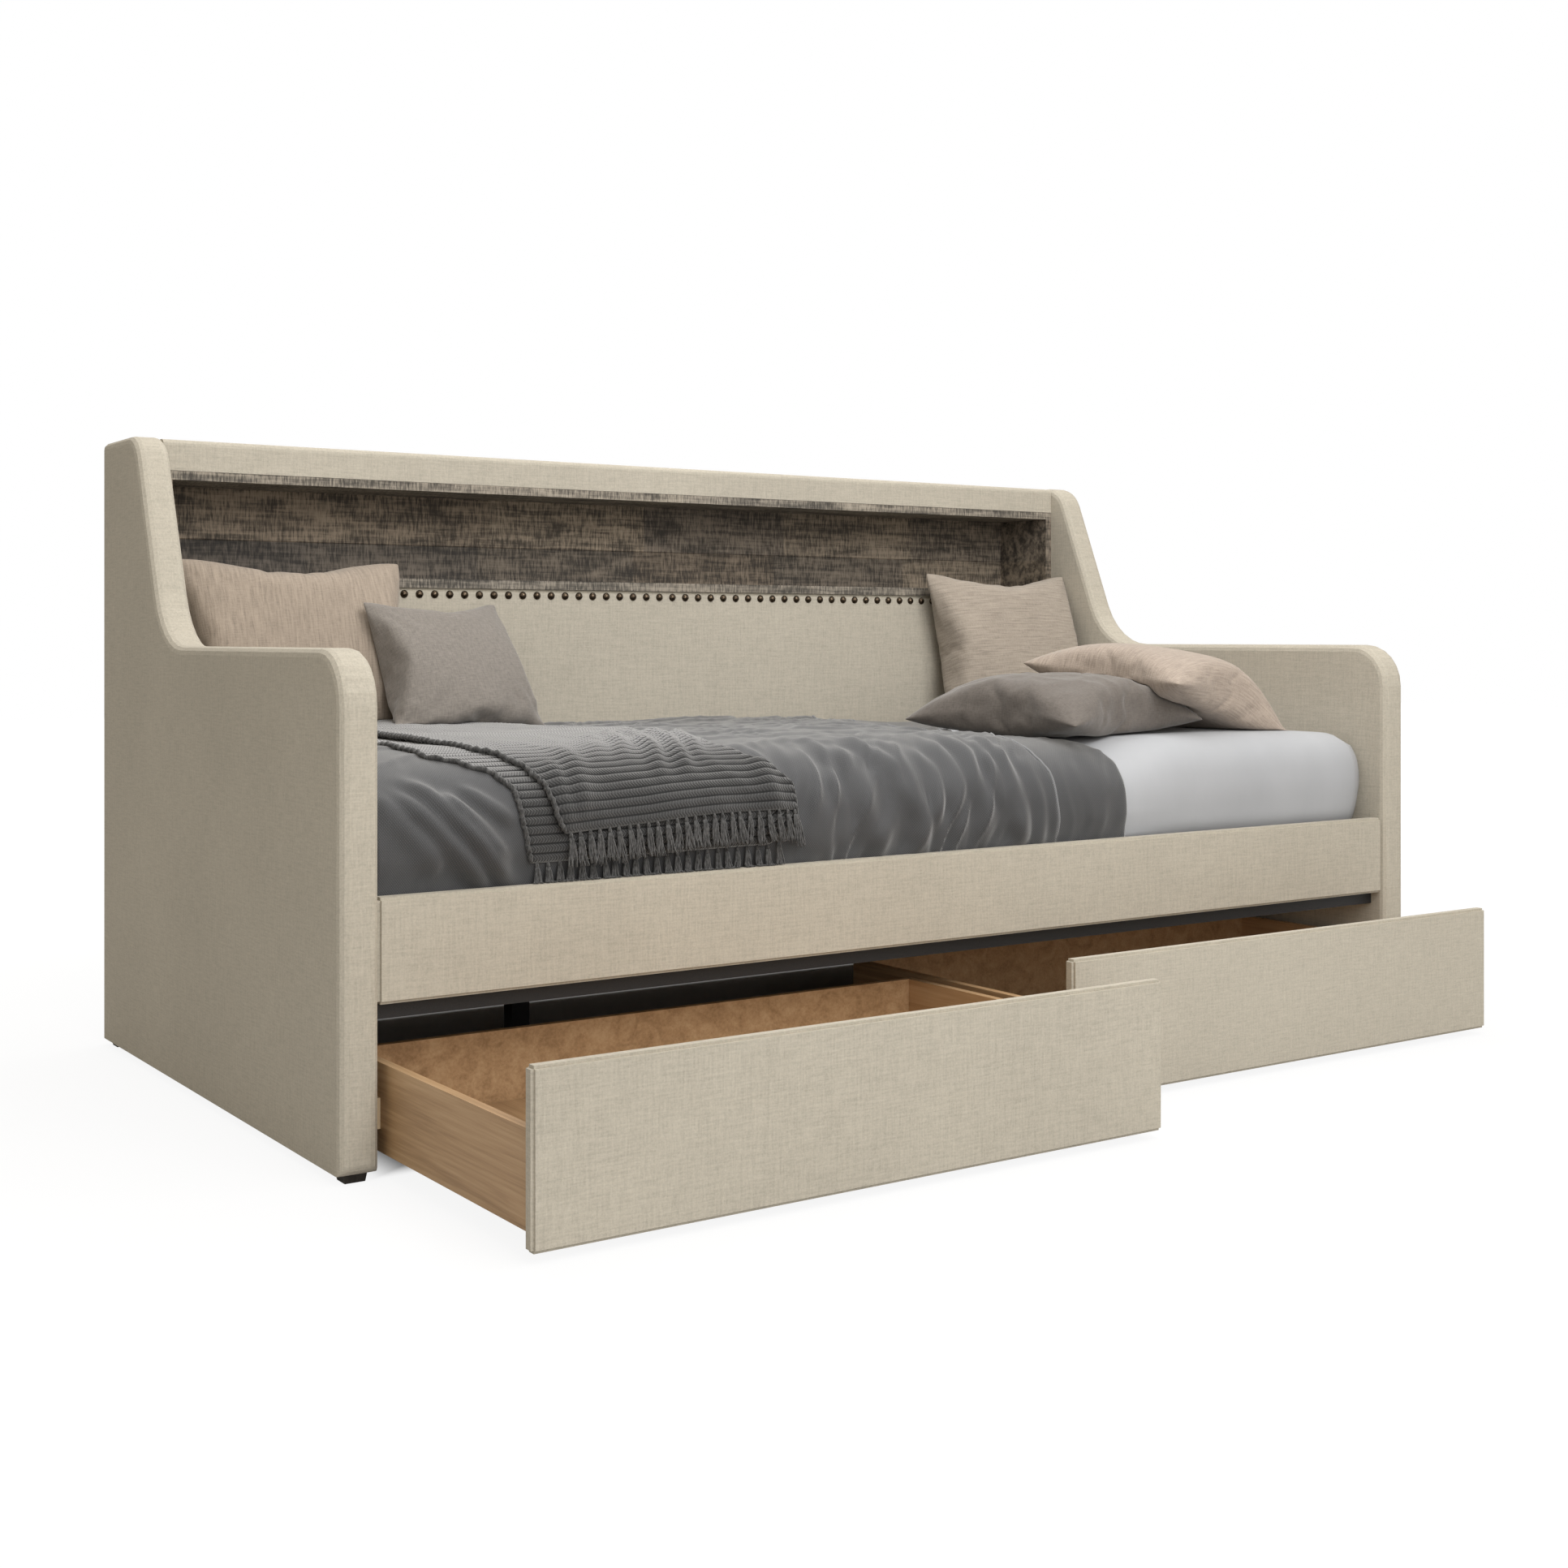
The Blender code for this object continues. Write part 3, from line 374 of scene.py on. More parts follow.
def duvet_finish(name, lightness):
    """Slate-grey cotton with a fine diagonal figure and a sheen."""
    finish = Finish(name, 0.70)
    place = finish.cloth()
    waves = []
    for slant in (38, -38):
        turned = finish.node("Mapping", {"Vector": place, "Rotation": (0, 0, math.radians(slant))})
        wave = finish.node("TexWave", {"Vector": turned.outputs[0], "Scale": 125.0,
                                       "Distortion": 0.6, "Detail": 1.0}, wave_type="BANDS")
        waves.append(wave.outputs["Fac"])
    figure = finish.times(*waves)
    # A lightness above 1 paints a highlight into the colour, as on the piping.
    stops = []
    for stop, color in ((0.0, (0.038, 0.039, 0.041)), (0.8, (0.070, 0.071, 0.075))):
        stops.append((stop, tuple(part * lightness for part in color)))
    wear = finish.ramp(finish.noise(finish.place(), 5.0, 3),
                       [(0.3, 0.93), (0.7, (1.08, 1.07, 1.06))])
    tone = finish.mix(1.0, finish.ramp(figure, stops), wear, "MULTIPLY")
    finish.sheen(0.55, 0.45)
    return finish.complete(tone, figure, 0.35, 0.0007)


def knit_finish():
    """Grey ribbed knit: rows of chevron stitches between sunken lines, with painted shade in the
    lines and over the front that hangs down.
    """
    finish = Finish("grey_knit", 0.9)
    spot = finish.node("SeparateXYZ", {"Vector": finish.cloth()}).outputs
    rib = finish.math("FRACT", spot["Y"])
    middle = finish.math("ABSOLUTE", finish.math("SUBTRACT", rib, 0.5))
    run = finish.total((spot["X"], 1), (middle, 0.010))
    stitch = finish.math("SINE", finish.times(run, 2 * math.pi / 0.0048))
    stitch = finish.math("ADD", finish.times(stitch, 0.5), 0.5)
    # Painted shade: the sunken lines between ribs and the hollows between stitches are coloured
    # nearly black, where shade falls. The same height also gives the real bump.
    edge = finish.spread(middle, 0.31, 0.43, 1.0, 0.0, "LINEAR")
    fuzz = finish.noise(finish.place(), 700)
    height = finish.times(finish.total((stitch, 1), (fuzz, 1)), edge)
    tone = finish.ramp(height, [(0.0, 0.003), (0.35, (0.052, 0.052, 0.053)),
                                (1.0, (0.270, 0.268, 0.270))])
    # Painted shade: the ribs that hang down the front are darkened towards black.
    painted_front_shade = finish.spread(spot["Y"], 64.0, 72.0, 1.0, 0.14)
    finish.sheen(0.55)
    return finish.complete(finish.mix(painted_front_shade, (0.0, 0.0, 0.0), tone), height, 0.6, 0.0012)


def yarn_finish():
    """The throw's own yarn, in its hems and fringe."""
    finish = plain_finish("grey_yarn", 0.9, [((420, 420, 160), 4, 0.6, 1)],
                          [(0.35, 0.010), (0.65, (0.100, 0.098, 0.096))], (0.5, 0.0008))
    finish.sheen(0.3)
    return finish


def slub_finish(name, color, pitch, run, upright=False):
    """Coarse cloth with uneven thick threads that run one way."""
    thick = (1 / pitch, 1 / run, 1) if upright else (1 / run, 1 / pitch, 1)
    thin = (1 / 0.012, 1 / 0.0016, 1) if upright else (1 / 0.0016, 1 / 0.012, 1)
    patterns = [(thick, 4, 0.65, 0.6), (thin, 0.25), (620, 0.15)]
    finish = plain_finish(name, 0.92, patterns, [(0.36, 0.70), (0.50, 1), (0.64, 1.20)],
                          (0.8, 0.0018), color, on_cloth=True)
    finish.sheen(0.15)
    return finish


def weave_finish(name, color):
    """Fine melange cloth, woven evenly."""
    long = 1 / 0.014
    fine = 1 / 0.0020
    patterns = [((long, fine, 1), 3, 0.6, 0.35), ((fine, long, 1), 3, 0.6, 0.35),
                ((160, 160, 1), 4, 0.7, 0.30)]
    finish = plain_finish(name, 0.92, patterns, [(0.36, 0.74), (0.50, 1), (0.64, 1.24)],
                          (0.6, 0.0012), color, on_cloth=True)
    finish.sheen(0.35, 0.4)
    return finish


# Shapes of the bedding

section_turn = -0.115
section_power = 2.6
bulge_level = 0.405
duvet_bulge = -0.3135
duvet_waist = -0.3065
duvet_hem = 0.346
duvet_back = duvet_high.y - 0.002


def smooth(value, low=0.0, high=1.0):
    """0 below low, 1 above high, eased between."""
    share = min(1.0, max(0.0, (value - low) / (high - low)))
    return share * share * (3 - 2 * share)


def wander(x, y, scale, seed):
    """Even noise from -1 to 1."""
    return noise.noise(Vector((x / scale, y / scale, seed)))


def along(points, value):
    """The height of a line through points at a value, eased from point to point."""
    if value <= points[0][0]:
        return points[0][1]
    for (low, first), (high, second) in zip(points, points[1:]):
        if value <= high:
            return first + (second - first) * smooth(value, low, high)
    return points[-1][1]


def ridge(value, width):
    """Rounded crest where a value passes through nought."""
    return math.exp(-(value / width) ** 2)


def back_dip(y):
    """How much lower the bedding lies towards the back."""
    return 0.009 * smooth(y, 0.46, 0.60)


def drawn_in(z):
    """How far the front goes back again below its fullest level."""
    return (duvet_waist - duvet_bulge) * smooth(bulge_level - z, 0.0, bulge_level - rail_top)


def section(top, back, rows):
    """The duvet's plain cross-section from the back over the top and down the front.

    Gives for each row its place (y, z), its outward way (y, z) and how far it is past the turn.
    """
    top_steps, turn_steps, front_steps = 30, 40, 16
    raw = []
    for step in range(top_steps + 1):
        y = back + (section_turn - back) * step / top_steps
        raw.append((y, top - back_dip(y)))
    for step in range(1, turn_steps + 1):
        angle = math.pi / 2 * (1 - step / turn_steps)
        y = section_turn - (section_turn - duvet_bulge) * math.cos(angle) ** (2 / section_power)
        z = bulge_level + (top - bulge_level) * math.sin(angle) ** (2 / section_power)
        raw.append((y, z))
    for step in range(1, front_steps + 1):
        z = bulge_level + (duvet_hem - bulge_level) * step / front_steps
        raw.append((duvet_bulge + drawn_in(z), z))
    lengths = [0.0]
    for before, after in zip(raw, raw[1:]):
        lengths.append(lengths[-1] + math.dist(before, after))
    turned = lengths[top_steps]
    line = []
    index = 0
    for row in range(rows + 1):
        target = lengths[-1] * row / rows
        while index < len(raw) - 2 and lengths[index + 1] < target:
            index += 1
        share = (target - lengths[index]) / (lengths[index + 1] - lengths[index])
        (y1, z1), (y2, z2) = raw[index], raw[index + 1]
        y = y1 + (y2 - y1) * share
        z = z1 + (z2 - z1) * share
        line.append((y, z, target - turned))
    placed = []
    for row, (y, z, drop) in enumerate(line):
        before = line[max(0, row - 1)]
        after = line[min(rows, row + 1)]
        run = Vector((after[0] - before[0], after[1] - before[1])).normalized()
        placed.append((y, z, run.y, -run.x, drop))
    return placed


def add_piece(name, bm):
    """Turn a bmesh into an object of the scene."""
    mesh = bpy.data.meshes.new(name)
    bm.to_mesh(mesh)
    bm.free()
    piece = bpy.data.objects.new(name, mesh)
    bpy.context.scene.collection.objects.link(piece)
    return piece


def grid_mesh(name, columns, uv):
    """A mesh through columns of points, with their places on the cloth as its UV map."""
    bm = bmesh.new()
    layer = bm.loops.layers.uv.new("cloth")
    made = [[bm.verts.new(point) for point in column] for column in columns]
    for i in range(len(made) - 1):
        for j in range(len(made[0]) - 1):
            quad = ((i, j), (i, j + 1), (i + 1, j + 1), (i + 1, j))
            face = bm.faces.new([made[column][row] for column, row in quad])
            face.smooth = True
            for corner, (column, row) in zip(face.loops, quad):
                corner[layer].uv = uv[column][row]
    return add_piece(name, bm)


def add_modifier(piece, kind, **settings):
    """Put a modifier on a piece and apply it."""
    modifier = piece.modifiers.new(kind.lower(), kind)
    for name, value in settings.items():
        setattr(modifier, name, value)
    apply_modifier(piece, modifier)


def apply_modifier(piece, modifier):
    """Apply a modifier with nothing else selected."""
    bpy.ops.object.select_all(action="DESELECT")
    bpy.context.view_layer.objects.active = piece
    piece.select_set(True)
    bpy.ops.object.modifier_apply(modifier=modifier.name)
    piece.select_set(False)


def finish_piece(piece, finish, slot, *nodes):
    """Give a piece its finish, put it on the body that it rides on, and hide the nodes that it
    stands for.
    """
    piece.data.materials.clear()
    piece.data.materials.append(finish.material)
    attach(piece, "daybed_frame")
    if nodes:
        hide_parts(*nodes)


def surface_tree(*pieces):
    """What rays are cast at, for the pieces that something lies on."""
    points = []
    faces = []
    for piece in pieces:
        first = len(points)
        points += [vertex.co.copy() for vertex in piece.data.vertices]
        faces += [[first + index for index in face.vertices] for face in piece.data.polygons]
    return bvhtree.BVHTree.FromPolygons(points, faces)


def eased(room, softness):
    """A gap that closes softly and never falls below nought."""
    return (room + math.sqrt(room * room + softness * softness)) / 2


def settle(piece, tree, way, softness):
    """Press a piece against what lies in a direction, so that it rests there and isn't in it."""
    way = Vector(way)
    reach = 1.2
    for vertex in piece.data.vertices:
        hit = tree.ray_cast(vertex.co - way * reach, way, 2 * reach)[0]
        if hit is not None:
            room = (hit - vertex.co).dot(way)
            vertex.co += way * (room - eased(room, softness))


def hold_back(piece, axis, limit, sign, softness):
    """Press a piece against a flat wall that it meets in the sign's direction."""
    for vertex in piece.data.vertices:
        room = (limit - vertex.co[axis]) * sign
        vertex.co[axis] = limit - sign * eased(room, softness)


# Mattress in its fitted sheet

mattress_top = 0.5215
mattress_half_length = 0.959
fullest_level = 0.435
mattress_rounding = Vector((0.022, 0.078, 0.066))


def under_duvet(x, y, z):
    """A place on the mattress, brought inside the duvet that presses on it."""
    away = 0.0140 - 0.0025 * smooth(x, 0.20, 0.34)
    top = duvet_top(x) - away
    front = duvet_bulge + away
    if y > section_turn:
        return y, min(z, top - back_dip(y))
    if z < bulge_level:
        return max(y, front + drawn_in(z)), z
    across = (section_turn - y) / (section_turn - front)
    up = (z - bulge_level) / (top - bulge_level)
    reach = (across ** section_power + up ** section_power) ** (1 / section_power)
    if reach <= 1:
        return y, z
    return section_turn - (section_turn - y) / reach, bulge_level + (z - bulge_level) / reach


def rounded(place, half):
    """A place on a block, brought in where its edges and corners are rounded."""
    radius = mattress_rounding
    inner = Vector(max(radius[k] - half[k], min(half[k] - radius[k], place[k])) for k in range(3))
    out = Vector((place[k] - inner[k]) / radius[k] for k in range(3))
    if out.length > 0:
        power = sum(abs(part) ** section_power for part in out) ** (1 / section_power)
        out = out * (max(abs(part) for part in out) / power)
    return Vector(inner[k] + out[k] * radius[k] for k in range(3))


def make_mattress():
    """Foam block under a stretched sheet: crowned, with full sides and drawn-in ends."""
    middle_y = (mattress_low.y + mattress_high.y) / 2
    middle_z = (mattress_top + mattress_low.z) / 2
    half = Vector((mattress_half_length, (mattress_high.y - mattress_low.y) / 2,
                   (mattress_top - mattress_low.z) / 2))
    bpy.ops.mesh.primitive_cube_add(size=2, location=(0, 0, 0))
    mattress = bpy.context.object
    mattress.name = "mattress_dressed"
    bpy.ops.object.mode_set(mode="EDIT")
    bpy.ops.mesh.subdivide(number_cuts=47)
    bpy.ops.object.mode_set(mode="OBJECT")
    for vertex in mattress.data.vertices:
        along_x, along_y, along_z = vertex.co
        place = rounded(Vector(vertex.co[k] * half[k] for k in range(3)), half)
        level = place.z + middle_z
        full = ridge(level - fullest_level, 0.060)
        side = math.copysign(smooth(abs(along_y), 0.90, 1.0), along_y)
        end = math.copysign(smooth(abs(along_x), 0.97, 1.0), along_x)
        if side < 0:
            place.y += side * (0.0115 * full - 0.003)
        place.x += end * (0.004 * full - 0.002)
        place.z -= 0.006 * smooth(abs(place.x), 0.82, 0.95) * smooth(along_z, 0.0, 1.0)
        place.y += side * 0.0011 * wander(place.x * 2.2, level * 0.35, 0.030, 4.0)
        place.z += 0.0008 * wander(place.x, place.y, 0.11, 8.0) * smooth(along_z, 0.9, 1.0)
        x, y, z = place.x, place.y + middle_y, place.z + middle_z
        pressed_y, pressed_z = under_duvet(x, y, z)
        free = smooth(x - along(duvet_end_line, section_turn - y), -0.006, 0.140)
        vertex.co = (x, pressed_y + (y - pressed_y) * free, pressed_z + (z - pressed_z) * free)
    mattress.data.polygons.foreach_set("use_smooth", [True] * len(mattress.data.polygons))
    finish_piece(mattress, sheet_finish(), "white_sheet", "mattress")
    return mattress


# Duvet

duvet_rows = 150
duvet_columns = 250
duvet_left = duvet_low.x
duvet_right = 0.356
duvet_thickness = 0.0085
rim_width = 0.010
rim_depth = 0.0035
# Where the duvet ends at the right and its hem is turned down: x at each way past the turn
duvet_end_line = [(-0.70, 0.620), (-0.60, 0.560), (-0.465, 0.480), (-0.315, 0.350),
                  (-0.16, 0.290), (0.0, 0.290), (0.034, 0.314), (0.075, 0.332), (0.115, 0.345),
                  (0.165, 0.354), (0.30, 0.356)]
piping_line = [(-0.60, 0.230), (-0.10, 0.216), (0.0, 0.200), (0.100, 0.176), (0.160, 0.180),
               (0.215, 0.190), (0.30, 0.195)]
# Folds of the hanging front: where each starts and ends as x and way past the turn, its height
# and its width
front_folds = [
    (-0.893, 0.180, -0.782, 0.300, 0.0190, 0.0125),
    (-0.857, 0.197, -0.785, 0.272, 0.0170, 0.0110),
    (-0.916, 0.197, -0.817, 0.304, 0.0160, 0.0125),
    (-0.827, 0.187, -0.775, 0.226, 0.0100, 0.0090),
    (-0.949, 0.195, -0.880, 0.279, 0.0090, 0.0150),
    (-0.280, 0.150, -0.266, 0.310, 0.0100, 0.020),
    (-0.240, 0.190, -0.228, 0.310, 0.0085, 0.015),
    (-0.215, 0.110, -0.166, 0.300, 0.0100, 0.021),
    (-0.165, 0.080, -0.105, 0.230, 0.0110, 0.019),
    (-0.100, 0.120, -0.085, 0.310, 0.0130, 0.018),
    (-0.055, 0.170, -0.048, 0.310, 0.0100, 0.014),
    (-0.015, 0.100, -0.006, 0.300, 0.0080, 0.019),
    (0.020, 0.090, 0.044, 0.290, 0.0130, 0.018),
    (0.060, 0.110, 0.076, 0.240, 0.0090, 0.016),
    (0.095, 0.120, 0.119, 0.300, 0.0140, 0.016),
    (0.153, 0.190, 0.155, 0.310, 0.0080, 0.013),
    (0.285, 0.150, 0.290, 0.300, 0.0030, 0.020),
]


def duvet_top(x):
    high = 0.5365 + 0.003 * wander(x, 0.0, 0.16, 3.0)
    return high - 0.0125 * smooth(x, 0.02, 0.33)


def fold_at(folds, x, drop):
    """Height of the folds of a list at a place: crests with hollows beside them."""
    crest = 0.0
    hollow = 0.0
    for x1, d1, x2, d2, height, width in folds:
        run = Vector((x2 - x1, d2 - d1))
        away = Vector((x - x1, drop - d1))
        share = away.dot(run) / run.length_squared
        if not -0.35 < share < 1.35:
            continue
        sway = 0.006 * wander(x1 * 7, drop, 0.055, 2.0)
        across = (away.x * run.y - away.y * run.x) / run.length + sway
        ends = smooth(share, -0.30, 0.25) * (1 - smooth(share, 0.85, 1.30))
        uneven = 1 + 0.35 * wander(x1 * 9, drop, 0.045, 6.0)
        size = height * uneven * ends
        bulge = size * ridge(across, 1.2 * width)
        crest = max(crest, bulge) + 0.25 * min(crest, bulge)
        hollow = max(hollow, size * ridge(across, 2.6 * width))
    return 1.25 * crest - 0.38 * hollow


def duvet_relief(x, drop, y):
    """How far the duvet stands off its plain section in folds and creases."""
    piping = along(piping_line, drop)
    band = smooth(x, piping - 0.003, piping + 0.004)
    front = smooth(drop, 0.02, 0.17)
    under = smooth(x, -0.90, -0.82) * (1 - smooth(x, -0.42, -0.34))
    quiet = (1 - 0.75 * under) * (1 - 0.65 * band)
    slant = x + 0.35 * max(0.0, drop) + 0.03 * wander(x, drop, 0.12, 1.0)
    large = ridge(wander(slant * 2.4, drop * 0.55, 0.085, 5.0), 0.24)
    waves = wander(slant, drop * 0.24, 0.024, 9.0)
    named = 1 - smooth(x, -0.74, -0.60)
    relief = 0.0062 * large * (0.25 + 0.75 * front) * (1 - 0.8 * named)
    relief += 0.0052 * waves * (0.02 + 0.98 * front) * (1 - 0.5 * named)
    lying = wander(x * 0.9 + 0.5 * y, y * 0.8 - 0.3 * x, 0.15, 11.0)
    crease = ridge(wander(x * 0.7 + 0.9 * y, y * 1.5 - 0.6 * x, 0.11, 13.0), 0.13)
    relief += (1 - front) * (0.0048 * lying + 0.0055 * crease)
    relief *= quiet
    relief += fold_at(front_folds, x, drop) * (1 - smooth(drop, 0.315, 0.345))
    return relief - 0.0030 * band


def make_duvet():
    """Soft filled duvet over the bed's top and front, tucked behind the rail."""
    columns = []
    places = []
    for i in range(duvet_columns + 1):
        share = i / duvet_columns
        widest = duvet_left + (duvet_right - duvet_left) * share
        column = []
        marks = []
        for y, z, out_y, out_z, drop in section(duvet_top(widest), duvet_back, duvet_rows):
            end = along(duvet_end_line, drop)
            x = duvet_left + (end - duvet_left) * share
            tucked = 1 - smooth(drop, 0.318, 0.335)
            relief = duvet_relief(x, drop, y) * (0.15 + 0.85 * tucked)
            rim = (end - x) / rim_width
            if rim < 1:
                relief -= rim_depth * (1 - math.sqrt(max(0.0, 1 - (1 - rim) ** 2)))
            column.append((x, y + out_y * relief, z + out_z * relief))
            marks.append((x, drop))
        columns.append(column)
        places.append(marks)
    duvet = grid_mesh("duvet_dressed", columns, places)
    filling = duvet.vertex_groups.new(name="filling")
    for index in range(len(duvet.data.vertices)):
        column, row = divmod(index, duvet_rows + 1)
        edge = min(1.0, (duvet_columns - column) / 12)
        thick = 0.30 + 0.70 * smooth(edge) * (1 - smooth(row / duvet_rows, 0.80, 0.97))
        filling.add([index], thick, "REPLACE")
    add_modifier(duvet, "SOLIDIFY", thickness=duvet_thickness, offset=-1, vertex_group="filling")
    finish_piece(duvet, duvet_finish("slate_cotton", 1.0), "grey_duvet", "duvet")
    return duvet, columns


def make_tube(name, points, radius, sides=8, twist=0.0, twist_pitch=1.0):
    """A cord through points, with an optional twisted relief."""
    points = [Vector(point) for point in points]
    last = len(points) - 1
    angles = [2 * math.pi * step / sides for step in range(sides + 1)]
    columns = []
    marks = []
    run = 0.0
    normal = Vector((0, -0.6, 0.8))
    for index, point in enumerate(points):
        way = (points[min(last, index + 1)] - points[max(0, index - 1)]).normalized()
        if index:
            run += (point - points[index - 1]).length
        side = way.cross(normal).normalized()
        normal = side.cross(way).normalized()
        taper = smooth(min(index, last - index), -0.5, 2.0)
        ring = []
        for angle in angles:
            grown = 1 + twist * math.sin(2 * math.pi * run / twist_pitch + angle)
            offset = side * math.cos(angle) + normal * math.sin(angle)
            ring.append(point + offset * (radius * taper * grown))
        columns.append(ring)
        marks.append([(run, radius * angle) for angle in angles])
    cord = grid_mesh(name, columns, marks)
    bm = bmesh.new()
    bm.from_mesh(cord.data)
    bmesh.ops.remove_doubles(bm, verts=bm.verts, dist=radius * 0.02)
    bmesh.ops.holes_fill(bm, edges=bm.edges)
    bmesh.ops.recalc_face_normals(bm, faces=bm.faces)
    bm.to_mesh(cord.data)
    bm.free()
    return cord


def make_piping(columns):
    """The corded seam between the duvet and its turned-down hem, its cloth made lighter as a painted
    highlight.
    """
    points = []
    drops = [place[4] for place in section(duvet_top(0.2), duvet_back, duvet_rows)]
    for row in range(4, duvet_rows - 2):
        target = along(piping_line, drops[row])
        for before, after in zip(columns, columns[1:]):
            if before[row][0] <= target <= after[row][0]:
                share = (target - before[row][0]) / (after[row][0] - before[row][0])
                points.append(Vector(before[row]).lerp(Vector(after[row]), share))
                break
    lifted = [(x, y - 0.0014, z + 0.0010) for x, y, z in points]
    piping = make_tube("duvet_piping", lifted, radius=0.0025)
    # Painted highlight: the cord's cloth is 3.6 times lighter than the duvet's, standing in for the
    # light on its crest.
    finish_piece(piping, duvet_finish("slate_cord_painted_highlight", 3.6), "grey_duvet")


# Throw

throw_ribs = 78
rib_steps = 4
throw_rows = throw_ribs * rib_steps
throw_back = -0.688
# The throw's two hems and its fold: x at each way past the turn
lower_hem_line = [(-0.69, -0.900), (-0.02, -0.869), (0.096, -0.853), (0.130, -0.808),
                  (0.159, -0.773), (0.192, -0.755), (0.229, -0.752), (0.263, -0.746),
                  (0.290, -0.741)]
upper_hem_line = [(-0.69, -0.805), (-0.212, -0.792), (-0.038, -0.797), (0.080, -0.775),
                  (0.126, -0.747), (0.162, -0.726), (0.193, -0.711), (0.225, -0.705),
                  (0.257, -0.694)]
right_fold_line = [(-0.69, -0.520), (-0.369, -0.465), (-0.306, -0.430), (-0.252, -0.406),
                   (-0.185, -0.389), (-0.050, -0.400), (0.023, -0.419), (0.099, -0.401),
                   (0.145, -0.372), (0.175, -0.335), (0.205, -0.315), (0.260, -0.316)]
throw_folds = [
    (-0.545, -0.020, -0.605, 0.120, 0.0050, 0.014),
    (-0.505, -0.040, -0.560, 0.120, 0.0085, 0.012),
    (-0.470, -0.050, -0.520, 0.140, 0.0110, 0.011),
    (-0.435, -0.040, -0.478, 0.145, 0.0110, 0.011),
    (-0.405, 0.000, -0.445, 0.120, 0.0085, 0.011),
    (-0.650, 0.110, -0.665, 0.220, 0.0070, 0.014),
    (-0.690, 0.150, -0.690, 0.230, 0.0055, 0.011),
    (-0.360, 0.140, -0.350, 0.240, 0.0045, 0.013),
]
rib_relief = (-0.0020, 0.0002, 0.0010, 0.0002)
lower_layer = 0.0030
upper_layer = 0.0100


class Blanket:
    """The duvet's outer surface under the throw, as heights over a plain section."""

    pitch = 0.008
    x_low = -0.93
    drop_low = -0.71
    across = 82
    down = 130

    def __init__(self, tree):
        self.line = section(duvet_top(-0.55), duvet_high.y, 500)
        self.heights = []
        for i in range(self.across):
            x = self.x_low + i * self.pitch
            self.heights.append([self.probe(tree, x, self.drop_low + j * self.pitch)
                                 for j in range(self.down)])
        for _ in range(5):
            self.relax()

    def base(self, drop):
        """Place and outward way of the plain section."""
        first = self.line[0][4]
        last = self.line[-1][4]
        place = (drop - first) / (last - first) * (len(self.line) - 1)
        index = max(0, min(len(self.line) - 2, int(place)))
        share = max(0.0, min(1.0, place - index))
        return [a + (b - a) * share for a, b in zip(self.line[index][:4], self.line[index + 1][:4])]

    def probe(self, tree, x, drop):
        """Height at which a ray meets the surface."""
        y, z, out_y, out_z = self.base(drop)
        out = Vector((0, out_y, out_z))
        foot = Vector((x, y, z))
        hit = tree.ray_cast(foot + out * 0.06, -out, 0.10)[0]
        return (hit - foot).dot(out) if hit else 0.0

    def relax(self):
        """Draw the cloth across the hollows."""
        old = self.heights
        new = [list(row) for row in old]
        for i in range(1, self.across - 1):
            for j in range(1, self.down - 1):
                mean = (old[i - 1][j] + old[i + 1][j] + old[i][j - 1] + old[i][j + 1]) / 4
                new[i][j] = max(old[i][j], mean) * 0.5 + mean * 0.5
        self.heights = new

    def height(self, x, drop):
        a = max(0.0, min(self.across - 1.001, (x - self.x_low) / self.pitch))
        b = max(0.0, min(self.down - 1.001, (drop - self.drop_low) / self.pitch))
        i, j = int(a), int(b)
        a, b = a - i, b - j
        low = self.heights[i][j] * (1 - b) + self.heights[i][j + 1] * b
        high = self.heights[i + 1][j] * (1 - b) + self.heights[i + 1][j + 1] * b
        return low * (1 - a) + high * a

    def point(self, x, drop, height):
        y, z, out_y, out_z = self.base(drop)
        total = self.height(x, drop) + height
        return x, y + out_y * total, z + out_z * total


def throw_wrinkle(x, drop):
    """Folds and soft dents of the throw, highest over the edge of the bed."""
    small = ridge(wander(x * 1.3 - drop * 0.5, drop * 0.5 + x * 0.3, 0.085, 21.0), 0.22)
    low = wander(x, drop, 0.14, 23.0)
    return max(-0.0030, fold_at(throw_folds, x, drop) + 0.0038 * low + 0.0015 * small)


def throw_column(blanket, kind, share):
    """One line of the throw from back to front: on a layer or round the fold between them."""
    turn = (upper_layer - lower_layer) / 2
    if kind == "lower":
        end = 0.290 - 0.004 * share - 0.024 * smooth(share, 0.88, 1.0)
    elif kind == "fold":
        end = 0.262 - 0.022 * share
    else:
        end = 0.240 - 0.003 * math.sin(math.pi * min(1.0, share * 1.6)) + 0.013 * share ** 2
    points = []
    for row in range(throw_rows + 1):
        drop = throw_back + (end - throw_back) * (row / throw_rows)
        right = along(right_fold_line, drop) - turn
        if kind == "lower":
            left = along(lower_hem_line, drop)
            x = left + (right - left) * share
            height = lower_layer
        elif kind == "fold":
            angle = math.pi * (share - 0.5)
            x = right + turn * math.cos(angle)
            height = (lower_layer + upper_layer) / 2 + turn * math.sin(angle)
            height += 0.6 * throw_wrinkle(x, drop)
        else:
            x = right + (along(upper_hem_line, drop) - right) * share
            height = upper_layer + throw_wrinkle(x, drop)
        points.append(blanket.point(x, drop, height + rib_relief[row % rib_steps]))
    return points


